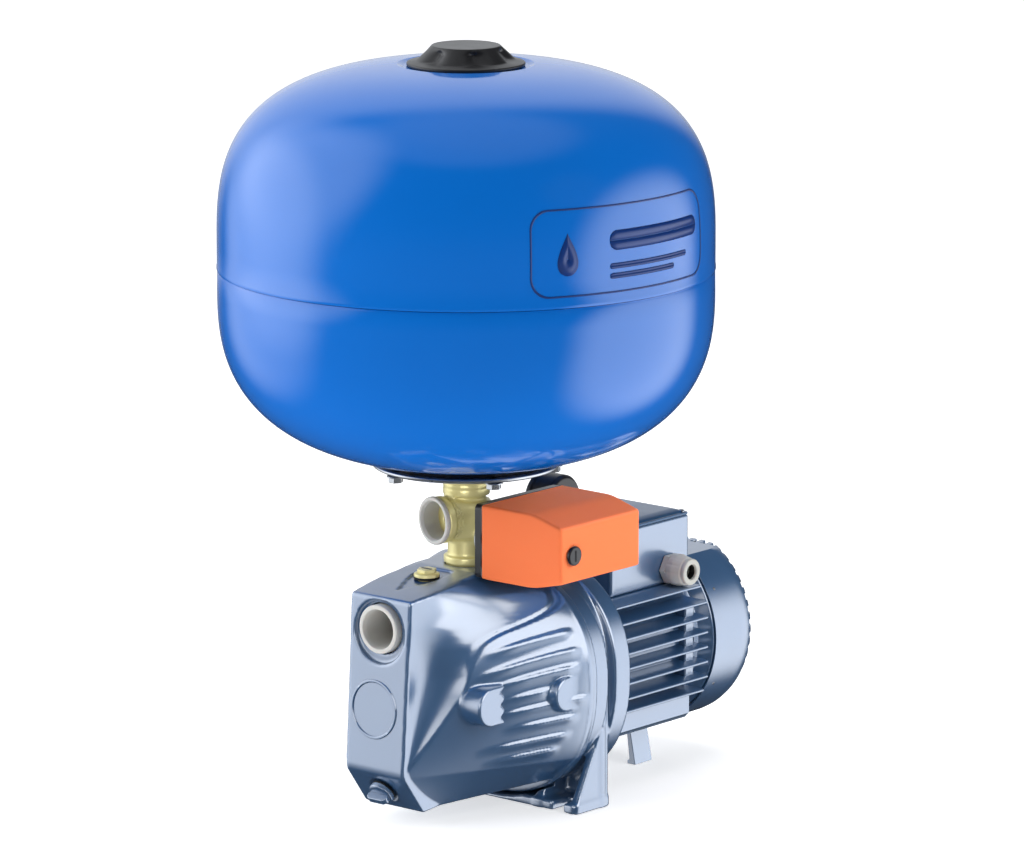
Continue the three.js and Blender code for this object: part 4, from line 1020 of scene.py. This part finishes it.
def fan_cover():
    """A pressed cover whose rear is a grille of radial slots; its top is pressed flat."""
    crown = COVER["rear"] - COVER["shoulder"]
    rows = [(71.6, COVER["front"] + 0.3, False), (COVER["radius"], COVER["front"], False),
            (COVER["radius"], COVER["front"] + 1.2, False)]
    for i in range(1, 9):
        rows.append((COVER["radius"], COVER["front"] + i * (COVER["shoulder"] - COVER["front"]) / 8, False))
    for i in range(1, 9):
        turn = math.pi / 2 * i / 8
        radius = COVER["radius"] - crown + crown * math.cos(turn)
        rows.append((radius, COVER["shoulder"] + crown * math.sin(turn), i >= 2))
    for radius in (48, 45, 42.5, 34, 26, 20, 17.5, 12, 7, 3):
        rows.append((radius, COVER["rear"], radius in SLOTTED_RADII))
    parts = 4  # angular steps for each slot and the rib beside it
    shares = [0, 0.24, 0.5, 0.76]
    turns = [2 * math.pi * (k + share) / GRILLE_SLOTS for k in range(GRILLE_SLOTS) for share in shares]
    roof = COVER["roof"] - SHAFT_Z
    points = [(radius * math.sin(turn), y, SHAFT_Z + min(radius * math.cos(turn), roof))
              for radius, y, _ in rows for turn in turns]
    count = len(turns)
    faces = []
    for quad in ladder(len(rows), count):
        r, k = divmod(quad[0], count)
        slotted = rows[r][2] and rows[r + 1][2] and k % parts in (1, 2)
        if not slotted or (rows[r][0] < GRILLE_RING and (k // parts) % 2):
            faces.append(quad)
    last = len(points) - count
    points.append((0, COVER["rear"], SHAFT_Z))
    faces += [[last + k, last + (k + 1) % count, len(points) - 1] for k in range(count)]
    thing = mesh_object("fan_cover_shell", points, faces, "cast_enamel", ["fan_cover"])
    wall = thing.modifiers.new("wall", "SOLIDIFY")
    wall.thickness = COVER["wall"] * MM
    wall.offset = -1
    round_edges(thing, 0.35, 2, 50)
    for i, degrees in enumerate((60, 120, 240, 300)):
        cover_screw(f"fan_cover_screw_{i + 1}", math.radians(degrees))


def cover_screw(name, turn):
    """A pan-head screw in the side of the fan cover, near its front edge."""
    out = np.array([math.sin(turn), 0, math.cos(turn)])
    profile = [(0, -3), (1.8, -3), (1.8, 0.1)]
    head = rounded([(3.6, 0.1), (3.6, 1.2), (2.2, 2.0), (0, 2.2)], [0.1, 0.6, 0.6, 0], closed=False)
    profile += head.tolist()
    points, faces = welded(*revolved(profile, 32))
    centre = np.array([0, COVER["front"] + 9, SHAFT_Z]) + out * (COVER["radius"] - 2.1)
    mesh_object(name, set_on(points, centre, ALONG, np.cross(out, ALONG), out), faces, "bright_steel")


FAN_BLADES = 7


def cooling_fan():
    low, high = span("cooling_fan")
    radius = (high[0] - low[0]) / 2
    hub = band(6.4, 13, low[1], high[1], 0.8)
    lathe("fan_hub", hub, "y", (0, SHAFT_Z), "dark_plastic", ["cooling_fan"], "rotor", segments=48)
    disc = band(12, radius - 1, low[1] + 0.1, low[1] + 2, 0.6)
    lathe("fan_disc", disc, "y", (0, SHAFT_Z), "dark_plastic", body="rotor", segments=96)
    points, faces = [], []
    for i in range(FAN_BLADES):
        turn = 2 * math.pi * i / FAN_BLADES
        sin, cos = math.sin(turn), math.cos(turn)
        start = len(points)
        outline = [(11, low[1] + 1), (radius - 1.5, low[1] + 1), (radius - 1.5, high[1] - 7), (14, high[1] - 3)]
        blade, blade_faces = prism_mesh(rounded(outline, 1.5), -0.9, 0.9)
        points.extend(set_on(blade, [0, 0, SHAFT_Z], [sin, 0, cos], ALONG, [cos, 0, -sin]))
        faces += [[start + k for k in face] for face in blade_faces]
    mesh_object("fan_blades", points, faces, "dark_plastic", body="rotor", bevel=0.3)


def motor_foot():
    low, high = span("motor_foot")
    half, top = high[0], high[2]
    legs = [(-half, 0), (8 - half, 0), (8 - half, 2.6), (6 - half, 3.6), (9.5 - half, top - 3)]
    legs += [(-x, z) for x, z in legs[::-1]] + [(half - 7, top), (7 - half, top)]
    outline = rounded(legs, [0.6, 0.6, 0.6, 1.5, 2, 2, 1.5, 0.6, 0.6, 0.6, 3, 3], steps=4)
    points, faces = standing(*prism_mesh(outline, low[1], high[1]))
    mesh_object("rear_foot", points, faces, "cast_enamel", ["motor_foot"], bevel=0.5)


# --- Terminal box and cable gland ---
def terminal_box():
    low, high = span("terminal_box")
    grid = Grid(low, high, 1.2)
    x, y, z = grid.x, grid.y, grid.z
    outside = both(both(np.abs(x) - 47.9, slab(y, low[1], high[1]), 2.6), slab(z, low[2], high[2]), 0.9)
    inside = both(np.abs(x) - 45.2, both(slab(y, low[1], high[1]) + 2.8, 143.8 - z), 2)
    saddle = rod(grid, "y", 60.3, 0, 200, [0, SHAFT_Z])
    inside = without(inside, rod(grid, "y", 63, 0, 200, [0, SHAFT_Z]), 1)
    shape = without(outside, inside, 0.4)
    shape = without(shape, saddle, 0.8)
    shape = without(shape, rod(grid, "x", 8.4, 30, 60, middle_of("gland_body")[1:]))
    casting("terminal_box_casting", grid, shape, "cast_enamel", ["terminal_box"])


def terminal_box_lid():
    low, high = span("terminal_box_lid")
    middle = (low[1] + high[1]) / 2
    half_x, half_y = high[0] - 0.1, (high[1] - low[1]) / 2
    prism("lid_rim", oblong(half_x, half_y, 3, 6), "z", low[2], low[2] + 1.9, "lid_enamel",
          ["terminal_box_lid"], bevel=0.5, at=(0, middle))
    levels = [(2, 1.7), (3.6, 3.1), (7.6, 4.35), (9, 4.65)]  # inset, rise
    points = []
    for inset, rise in levels:
        loop = oblong(half_x - inset, half_y - inset, 4, 8)
        points += [(p[0], p[1] + middle, low[2] + rise) for p in loop]
    count = len(loop)
    faces = ladder(len(levels), count)
    faces += [list(range(len(points) - count, len(points))), list(range(count))[::-1]]
    mesh_object("lid_crown", points, faces, "lid_enamel", crease=math.radians(50))
    for i, (sx, sy) in enumerate(((-1, -1), (1, -1), (1, 1), (-1, 1))):
        place = (sx * (half_x - 4.4), middle + sy * (half_y - 4.4))
        screw = rounded([(0, low[2] + 1.6), (2.7, low[2] + 1.6), (2.7, low[2] + 3.2), (0, low[2] + 4.3)],
                        [0, 0, 1.2, 0], closed=False)
        lathe(f"lid_screw_{i + 1}", screw, "z", place, "bright_steel", segments=32)


def cable_gland():
    at = middle_of("gland_body")[1:]
    face, tip = 48.3, float(span("gland_nut")[1][0])
    prism("gland_hexagon", circle(12, 6), "x", face, face + 5, "gland_plastic", ["gland_body"], bevel=0.6,
          hole=circle(6.2, 48), at=at)
    sleeve = [(6, face - 6), (8, face - 6), (8, face + 0.2), (8.4, face + 4.5), (8.4, face + 14), (6, face + 14)]
    lathe("gland_sleeve", rounded(sleeve, 0.3), "x", at, "gland_plastic", segments=64)
    profile = rounded(
        [(8.8, face + 5.4), (11.6, face + 5.4), (12, face + 10.5), (10.4, tip - 4.6), (9.4, tip - 3.6),
         (9.9, tip - 2.4), (9.9, tip), (5.6, tip), (5.6, face + 14.8), (8.8, face + 14.4)],
        [0.3, 0.8, 2, 1, 0.5, 0.6, 1.0, 1.0, 0.5, 0.3],
    )

    def flutes(turn, radius, along):
        """Shallow grip flats on the nut's skirt."""
        skirt = smooth(along, face + 5.4, face + 7) * (1 - smooth(along, face + 12, face + 16)) * (radius > 9.3)
        return radius - 0.5 * skirt * (0.5 + 0.5 * np.cos(turn * 12)) ** 3

    lathe("gland_cap", profile, "x", at, "gland_plastic", ["gland_nut"], segments=144, wobble=flutes)
    seal = rounded([(5.2, face + 14.9), (7.6, face + 14.9), (7.2, tip - 3), (5.2, tip - 1.5)], 0.6)
    lathe("gland_seal", seal, "x", at, "rubber", segments=48)


# --- Manifold, gauge and pressure switch ---
OUTLET_TURN = math.radians(12)
OUTLET_Z = 214.5
SWITCH_Z = 204
GAUGE_Z = 213


def manifold():
    """Five ways: down to the pump, up to the tank, and to the outlet, the switch and the gauge."""
    grid = Grid([-24, PORT_Y - 34, 171], [22, PORT_Y + 27, 252], 0.85)
    x, y, z = grid.x, grid.y - PORT_Y, grid.z
    across = np.sqrt(x * x + y * y)
    shape = both(across - 15.2, slab(z, 172.6, 182), 0.6)
    shape = either(shape, both(across - 16.7, slab(z, 180.4, 186), 1.0), 0.8)
    shape = either(shape, both(across - 13.8, slab(z, 182, 240), 0.5), 1.5)
    corner = math.cos(math.pi / 4)
    eight = np.maximum(np.maximum(np.abs(x), np.abs(y)), corner * np.maximum(np.abs(x + y), np.abs(x - y)))
    shape = either(shape, both(both(eight - 18.2, across - 19, 1.5), slab(z, 200, 227), 3), 2.5)
    shape = either(shape, both(across - 17.1, slab(z, 231, 251.4), 1), 1.5)
    for groove in (236.5, 240, 243.5):
        shape = without(shape, both(np.abs(across - 17.3) - 0.5, np.abs(z - groove) - 0.7), 0.3)
    along = -(x * math.sin(OUTLET_TURN) + y * math.cos(OUTLET_TURN))
    beside = x * math.cos(OUTLET_TURN) - y * math.sin(OUTLET_TURN)
    outlet = np.sqrt(beside**2 + (z - OUTLET_Z) ** 2)
    shape = either(shape, both(outlet - 16.1, slab(along, 0, 27), 0.8), 3)
    shape = either(shape, both(outlet - 17.2, slab(along, 20.8, 26.8), 0.9), 0.8)
    switch, gauge_port = np.sqrt(y**2 + (z - SWITCH_Z) ** 2), np.sqrt(x**2 + (z - GAUGE_Z) ** 2)
    shape = either(shape, both(switch - 9, slab(x, 0.1, 19.9), 0.8), 2)
    shape = either(shape, both(gauge_port - 8.5, slab(y, 0.1, 24.9), 0.8), 2)
    for bore in (across - 10, both(across - 13.4, 236 - z), both(outlet - 10, -along)):
        shape = without(shape, bore)
    shape = without(shape, both(outlet - 15.2, 14 - along), 0.4)
    for bore in (both(gauge_port - 5, 15 - y), both(gauge_port - 3, -y), both(switch - 3, -x)):
        shape = without(shape, bore)
    casting("manifold_casting", grid, shape, "brass", ["manifold_body"])


def outlet_liner():
    profile = rounded(
        [(13.6, 15.2), (14.9, 15.2), (14.9, 27.2), (17.7, 27.4), (17.7, 30.9), (15.2, 30.9), (13.9, 28.5)],
        [0.3, 0, 0, 0.8, 1.1, 0.9, 0.6],
    )
    points, faces = welded(*revolved(profile, 96))
    sin, cos = math.sin(OUTLET_TURN), math.cos(OUTLET_TURN)
    points = set_on(points, [0, PORT_Y, OUTLET_Z], [cos, -sin, 0], [0, 0, 1], [-sin, -cos, 0])
    mesh_object("outlet_sleeve", points, faces, "light_plastic", ["outlet_liner"])


def gauge():
    back, front = float(span("gauge_case")[1][0]), -5.0
    centre = (52.0, GAUGE_Z)
    radius = 20.0
    case = rounded(
        [(0, back), (radius - 3, back), (radius - 1, back - 3), (radius - 1, front + 5), (radius, front + 4),
         (radius, front + 0.1), (radius - 2.4, front + 0.1), (radius - 2.6, front + 6.9), (0, front + 6.9)],
        [0, 2.5, 1, 0.6, 0.6, 0.9, 0.6, 0.3, 0], closed=False,
    )
    lathe("gauge_body", case, "x", centre, "dark_plastic", ["gauge_case"], segments=96)
    dial = band(0, 17.2, front + 6.2, front + 6.8, 0)
    lathe("gauge_dial", dial, "x", centre, "dial_paper", segments=96)
    points, faces = [], []
    for i in range(31):
        turn = math.radians(225 - 9 * i)
        long = i % 5 == 0
        inner, outer, half = (11.6 if long else 13.6), 15.6, (0.42 if long else 0.2)
        along = np.array([math.cos(turn), math.sin(turn)])
        side = np.array([-along[1], along[0]]) * half
        start = len(points)
        for depth in (front + 5.95, front + 6.15):
            for reach, sign in ((inner, -1), (outer, -1), (outer, 1), (inner, 1)):
                p = along * reach + side * sign
                points.append((depth, centre[0] - p[0], centre[1] + p[1]))
        faces += [[start + k for k in face] for face in
                  ((0, 1, 2, 3), (7, 6, 5, 4), (0, 4, 5, 1), (1, 5, 6, 2), (2, 6, 7, 3), (3, 7, 4, 0))]
    mesh_object("gauge_ticks", points, faces, "dark_plastic")
    lens = rounded([(0, front + 0.7), (17.3, front + 0.9), (17.3, front + 1.9), (0, front + 1.7)], [0, 0.3, 0.3, 0])
    lathe("gauge_lens", lens, "x", centre, "gauge_glass", segments=96)
    prism("gauge_stem_hexagon", circle(8, 6), "y", PORT_Y + 25.4, 38, "bright_steel", bevel=0.5,
          at=(0, GAUGE_Z))
    stem = band(0, 4.6, PORT_Y + 16.2, PORT_Y + 25.6, 0)
    lathe("gauge_stem", stem, "y", (0, GAUGE_Z), "bright_steel", segments=48)


def wear_material(thing, material, bevel):
    """Gives a CAD node its finish, and rounds its edges with a modifier."""
    thing.data.materials.clear()
    thing.data.materials.append(materials[material])
    round_edges(thing, bevel, 2, 40)


SWITCH_SIDE = [(36, 176.8), (36, 231.5), (84, 231.5), (110, 224), (110, 183), (84, 176.8)]
SWITCH_FRONT, SWITCH_REAR = -64, 28
SCREW_AT = (-48.5, 202.5)
SPRING_TURNS = 8


def switch_cover():
    """A moulded hollow box with sloping edges at its top and bottom."""
    grid = Grid([36, SWITCH_FRONT, 176.8], [110, SWITCH_REAR, 231.5], 0.95)
    x, y, z = grid.x, grid.y, grid.z
    profile = convex(x, z, SWITCH_SIDE)
    ends = slab(y, SWITCH_FRONT, SWITCH_REAR) + 0.02 * (x - 36)
    shape = both(convex(x, z, SWITCH_SIDE, [0, 0, 1.6, 1.6, 1.6, 1.6]), 36 - x)
    shape = both(shape, ends, 2.2)
    hollow = both(profile + 2.4, ends + 2.4, 3)
    shape = without(shape, either(both(hollow, x - 107.4, 1.5), both(hollow, x - 60)), 0.3)
    well = np.sqrt((y - SCREW_AT[0]) ** 2 + (z - SCREW_AT[1]) ** 2)
    shape = either(shape, both(both(well - 8.8, 104 - x), x - 109.2), 1)
    shape = without(shape, both(well - 7.6, 109.4 - x), 0.3)
    shape = without(shape, well - 3)
    seam = both(both(-(profile + 0.8), np.abs(x - 38.6) - 0.5), -ends - 60)
    shape = without(shape, seam, 0.3)
    cover = casting("switch_cover_shell", grid, shape, "orange_cover", ["switch_cover"], "switch_cover")
    cover.visible_glossy = False


def switch_inside():
    middle = ((SWITCH_FRONT + SWITCH_REAR) / 2, (177 + 231.5) / 2)
    prism("switch_plate", oblong(45.6, 27.2, 4, 8), "x", 30.1, 35.6, "dark_plastic", ["switch_base"],
          bevel=0.8, at=middle, hole=circle(4.4, 32, (PORT_Y - middle[0], SWITCH_Z - middle[1])))
    post = rounded([(2.2, 35), (3.6, 35), (3.4, 83.6), (2.2, 83.6)], [0, 0, 0.4, 0.2])
    lathe("switch_post", post, "x", SCREW_AT, "bright_steel", segments=32)
    neck = rounded([(4.4, 20.4), (12.5, 20.4), (20, 24), (20, 30.2), (4.4, 30.2)], [0.4, 1, 2, 0.5, 0])
    lathe("switch_diaphragm_housing", neck, "x", (PORT_Y, SWITCH_Z), "zinc_steel", segments=96)
    coil = [(44 + 22 * share, PORT_Y + 26 + 5.4 * math.cos(SPRING_TURNS * 2 * math.pi * share),
             SWITCH_Z + 5.4 * math.sin(SPRING_TURNS * 2 * math.pi * share)) for share in np.linspace(0, 1, 97)]
    wire("range_spring", coil, 0.9, "bright_steel")
    for i, y in enumerate((-2, 6, 14)):
        screw = rounded([(0, 65.8), (2.8, 65.8), (2.8, 67.6), (0, 68.2)], [0, 0, 0.8, 0], closed=False)
        lathe(f"contact_screw_{i + 1}", screw, "x", (y, 217), "brass", segments=24)


def wire(name, path, radius, material):
    """A round wire along a path of points."""
    path = np.asarray(path, float)
    sides = 10
    points = []
    for i, here in enumerate(path):
        along = path[min(i + 1, len(path) - 1)] - path[max(i - 1, 0)]
        along /= np.linalg.norm(along)
        side = np.cross(along, [1.0, 0, 0])
        side /= np.linalg.norm(side)
        up = np.cross(along, side)
        for k in range(sides):
            turn = 2 * math.pi * k / sides
            points.append(here + radius * (math.cos(turn) * side + math.sin(turn) * up))
    faces = ladder(len(path), sides)
    faces += [list(range(sides))[::-1], list(range(len(points) - sides, len(points)))]
    mesh_object(name, points, faces, material)


def switch_screw():
    face = 110
    profile = rounded(
        [(0, 76), (2, 76), (2, face - 0.5), (2.6, face + 0.3), (7, face + 0.3), (7, face + 2.0),
         (6.1, face + 2.5), (0, face + 2.5)],
        [0, 0.4, 0, 0, 0.2, 0.5, 0.4, 0], closed=False,
    )
    lathe("cover_screw_body", profile, "x", SCREW_AT, "dark_plastic", ["switch_cover_screw"], "cover_screw",
          segments=48)
    # Not a cut: a thin dark sheet on the screw's face paints the slot's shade.
    prism("cover_screw_slot_painted_shade", oblong(0.9, 4.2, 0.4), "x", face + 2.45, face + 2.58, "rubber",
          body="cover_screw", at=SCREW_AT)


# --- Pressure tank ---
TANK_TOP = 547.0
TANK_BOTTOM = 255.6
TANK_SEAM = 398.0
TANK_UPPER = (130.0, 2.91)  # dome height, roundness
TANK_LOWER = (127.2, 2.6)
TANK_WALL = 2.0
TANK_DISH = (46.0, 52.0, 544.4)
TANK_MOUTH = 55.0
PAINT_RADIUS = TANK_RADIUS - 0.35


def dome(edge, height, power, start, steps, inset=0.0):
    """Points on a dome from radius start outwards. height is negative on the lower one."""
    radius = PAINT_RADIUS - inset
    first = math.asin((start / radius) ** (power / 2))
    turns = np.linspace(first, math.pi / 2, steps)
    tall = height - math.copysign(inset, height)
    return np.stack([radius * np.sin(turns) ** (2 / power), edge + tall * np.cos(turns) ** (2 / power)], 1)


def tank_radius_at(z):
    """The tank's outer radius at a height."""
    upper_edge = TANK_TOP - TANK_UPPER[0]
    if z <= upper_edge:
        return PAINT_RADIUS
    share = ((z - upper_edge) / TANK_UPPER[0]) ** (TANK_UPPER[1])
    return PAINT_RADIUS * max(0.0, 1 - share) ** (1 / TANK_UPPER[1])


def tank_shells():
    dish, edge, dish_z = TANK_DISH
    height, power = TANK_UPPER
    outer = dome(TANK_TOP - height, height, power, edge, 48).tolist()
    inner = dome(TANK_TOP - height, height, power, edge, 24, TANK_WALL).tolist()
    bead = [(PAINT_RADIUS + out, TANK_SEAM + up) for out, up in ((0, 3.6), (0.3, 2.6), (0.35, 1.0), (0.1, 0.3))]
    centre = rounded([(6.4, dish_z), (dish - 1, dish_z), (dish + 3.4, dish_z + 1.6), tuple(outer[0])],
                     [0, 3, 2, 0], closed=False)
    under = [(dish, dish_z - TANK_WALL), (6.4, dish_z - TANK_WALL)]
    bead.append((PAINT_RADIUS - TANK_WALL, TANK_SEAM + 0.3))
    profile = centre.tolist() + outer[1:] + bead + inner[::-1] + under
    lathe("tank_upper", profile, "z", (0, PORT_Y), "tank_paint", ["tank_upper_shell"], segments=256)
    height, power = TANK_LOWER
    outer = dome(TANK_BOTTOM + height, -height, power, TANK_MOUTH, 56).tolist()
    inner = dome(TANK_BOTTOM + height, -height, power, TANK_MOUTH, 24, TANK_WALL).tolist()
    edge_line = [(PAINT_RADIUS - out, TANK_SEAM - down) for out, down in ((0.2, 2.2), (0.7, 1.2), (0.9, 0.25))]
    profile = outer + edge_line + [(PAINT_RADIUS - TANK_WALL, TANK_SEAM - 0.25)] + inner[::-1]
    lathe("tank_lower", profile, "z", (0, PORT_Y), "tank_paint", ["tank_lower_shell"], segments=256)


LABEL_TURN = math.radians(8)  # the label's middle, from +X towards -Y
LABEL_SIZE = (168.0, 62.0)
LABEL_Z = 437.0


def on_tank(along, z, lift):
    turn = -LABEL_TURN + along / TANK_RADIUS
    radius = tank_radius_at(z) + lift
    return (radius * math.cos(turn), PORT_Y + radius * math.sin(turn), z)


def tank_label():
    """A printed frame with a water drop and plain bars: no words."""
    width, height = LABEL_SIZE
    points, faces = [], []

    def ribbon(outer, inner):
        start = len(points)
        for loop in (outer, inner):
            points.extend(on_tank(a, LABEL_Z + b, 0.22) for a, b in loop)
        faces.extend([start + k for k in quad] for quad in ladder(2, len(outer)))

    outer = dense(oblong(width / 2, height / 2, 14, 10), 3)
    ribbon(outer, outer * [1 - 2.6 / width, 1 - 2.6 / height])
    for middle, half_x, half_y, lift in ((26, 48, 7, 6), (18, 40, 2, -12), (10, 32, 2, -19)):
        bar = dense(oblong(half_x, half_y, half_y * 0.9, 10), 3)
        ribbon(bar + [middle, lift], bar * [1, 0.02] + [middle, lift])
    turns = np.linspace(0, 2 * math.pi, 60, endpoint=False)
    drop = np.stack([11 * np.sin(turns) * np.sin(turns / 2) ** 1.4, 15 * np.cos(turns)], 1)
    ribbon(drop + [-56, -1], drop * 0.04 + [-56, -4])
    ink = mesh_object("tank_label_print", points, faces, "label_ink")
    thick = ink.modifiers.new("thickness", "SOLIDIFY")
    thick.thickness = 0.12 * MM
    thick.offset = 0


def tank_flange():
    radius = span("tank_flange")[1][0] - 0.05
    bottom, top = 252.0, 255.0
    profile = rounded(
        [(10, 238.1), (13, 238.1), (13, bottom - 3), (16, bottom), (radius - 2, bottom), (radius, bottom + 1.2),
         (radius, top), (radius - 1.2, top), (10, top)],
        [0.3, 0.6, 1.5, 1.5, 2, 1, 0.5, 0.3, 0],
    )
    lathe("flange_plate", profile, "z", (0, PORT_Y), "zinc_steel", ["tank_flange"], segments=160)
    for i in range(5):
        name = f"flange_bolt_{i + 1}"
        at = middle_of(name)[:2]
        hex_bolt(name + "_head", "z", at, bottom - 0.3, -4.5, 5.6, 255, 3, [name], "zinc_steel")
        washer = band(3.3, 6.6, bottom - 0.9, bottom - 0.1, 0.2)
        lathe(name + "_washer", washer, "z", at, "zinc_steel", segments=40)


def tank_cap():
    """A push-on cap over the air valve, with six finger dents round its cone."""
    low, high = span("tank_cap")
    radius, rim, top = float(high[0]), float(low[2]), float(high[2])
    knob, wall = 25.0, 2.2
    outside = rounded(
        [(0, top - 0.05), (knob - 0.5, top - 0.05), (radius - 7, rim + 4.2), (radius - 0.1, rim + 2.4),
         (radius - 0.1, rim), (radius - 4, rim)],
        [0, 1.6, 4, 1.2, 0.8, 0], 6, closed=False,
    )
    inside = [(radius - 4, rim), (radius - 9, rim + 1.6), (knob - 2, top - wall - 0.4), (0, top - wall)]
    profile = np.concatenate([dense(outside, 1.4, closed=False), inside])
    first_dent = -CAMERA_AZIMUTH + math.radians(65)

    def dents(turn, spot, height):
        around = (0.5 + 0.5 * np.cos((turn - first_dent) * 6)) ** 2.2
        level = smooth(height, rim + 2.2, rim + 6) * (1 - smooth(height, top - 5, top - 0.6))
        return spot - 4.6 * around * level * (spot > knob - 2)

    lathe("cap_shell", profile, "z", (0, PORT_Y), "dark_plastic", ["tank_cap"], "tank_cap", segments=240,
          wobble=dents, crease=math.radians(40))


# --- Everything together ---
materials = make_materials()
add_camera()
add_floor()
add_world()
add_softbox("softbox_right", 2.2, 1.6, 1.7, (1.6, 1.6), 22)
add_softbox("softbox_left", -2.4, 1.2, 1.4, (1.6, 1.6), 20)
add_softbox("softbox_top", 0.2, -0.3, 2.6, (2.2, 2.2), 28)
bpy.context.scene.view_settings.view_transform = "Standard"

pump_casing()
face_medallion()
ports_and_plugs()
motor_bracket()
casing_bolts()
motor_frame()
rear_end_shield()
fan_cover()
cooling_fan()
motor_foot()
terminal_box()
terminal_box_lid()
cable_gland()
manifold()
outlet_liner()
gauge()
wear_material(frame["nodes"]["gauge_needle"], "needle_red", 0.2)
switch_cover()
switch_inside()
switch_screw()
tank_shells()
tank_label()
tank_flange()
tank_cap()

pump_castings = finished_in("cast_enamel")
add_softbox("softbox_castings_right", 2.0, 1.6, 1.7, (3.0, 3.0), 72, pump_castings)
add_softbox("softbox_castings_front", -1.7, 2.45, 0.8, (2.4, 1.6), 24, pump_castings)
add_softbox("softbox_brass", -0.5, 2.6, 0.5, (1.4, 1.0), 26, finished_in("brass"))
add_softbox("softbox_cover", 2.0, -0.6, 1.05, (1.2, 0.8), 38, finished_in("orange_cover"))

node_slot = {entry["node"]: entry["material_slot"] for entry in frame["record"]["subparts"]}
for node, thing in frame["nodes"].items():
    if not thing.hide_render and node != "gauge_needle":
        wear_material(thing, node_slot[node], 0.25)
        thing.data.polygons.foreach_set("use_smooth", [True] * len(thing.data.polygons))
        thing.data.set_sharp_from_angle(angle=CREASE)
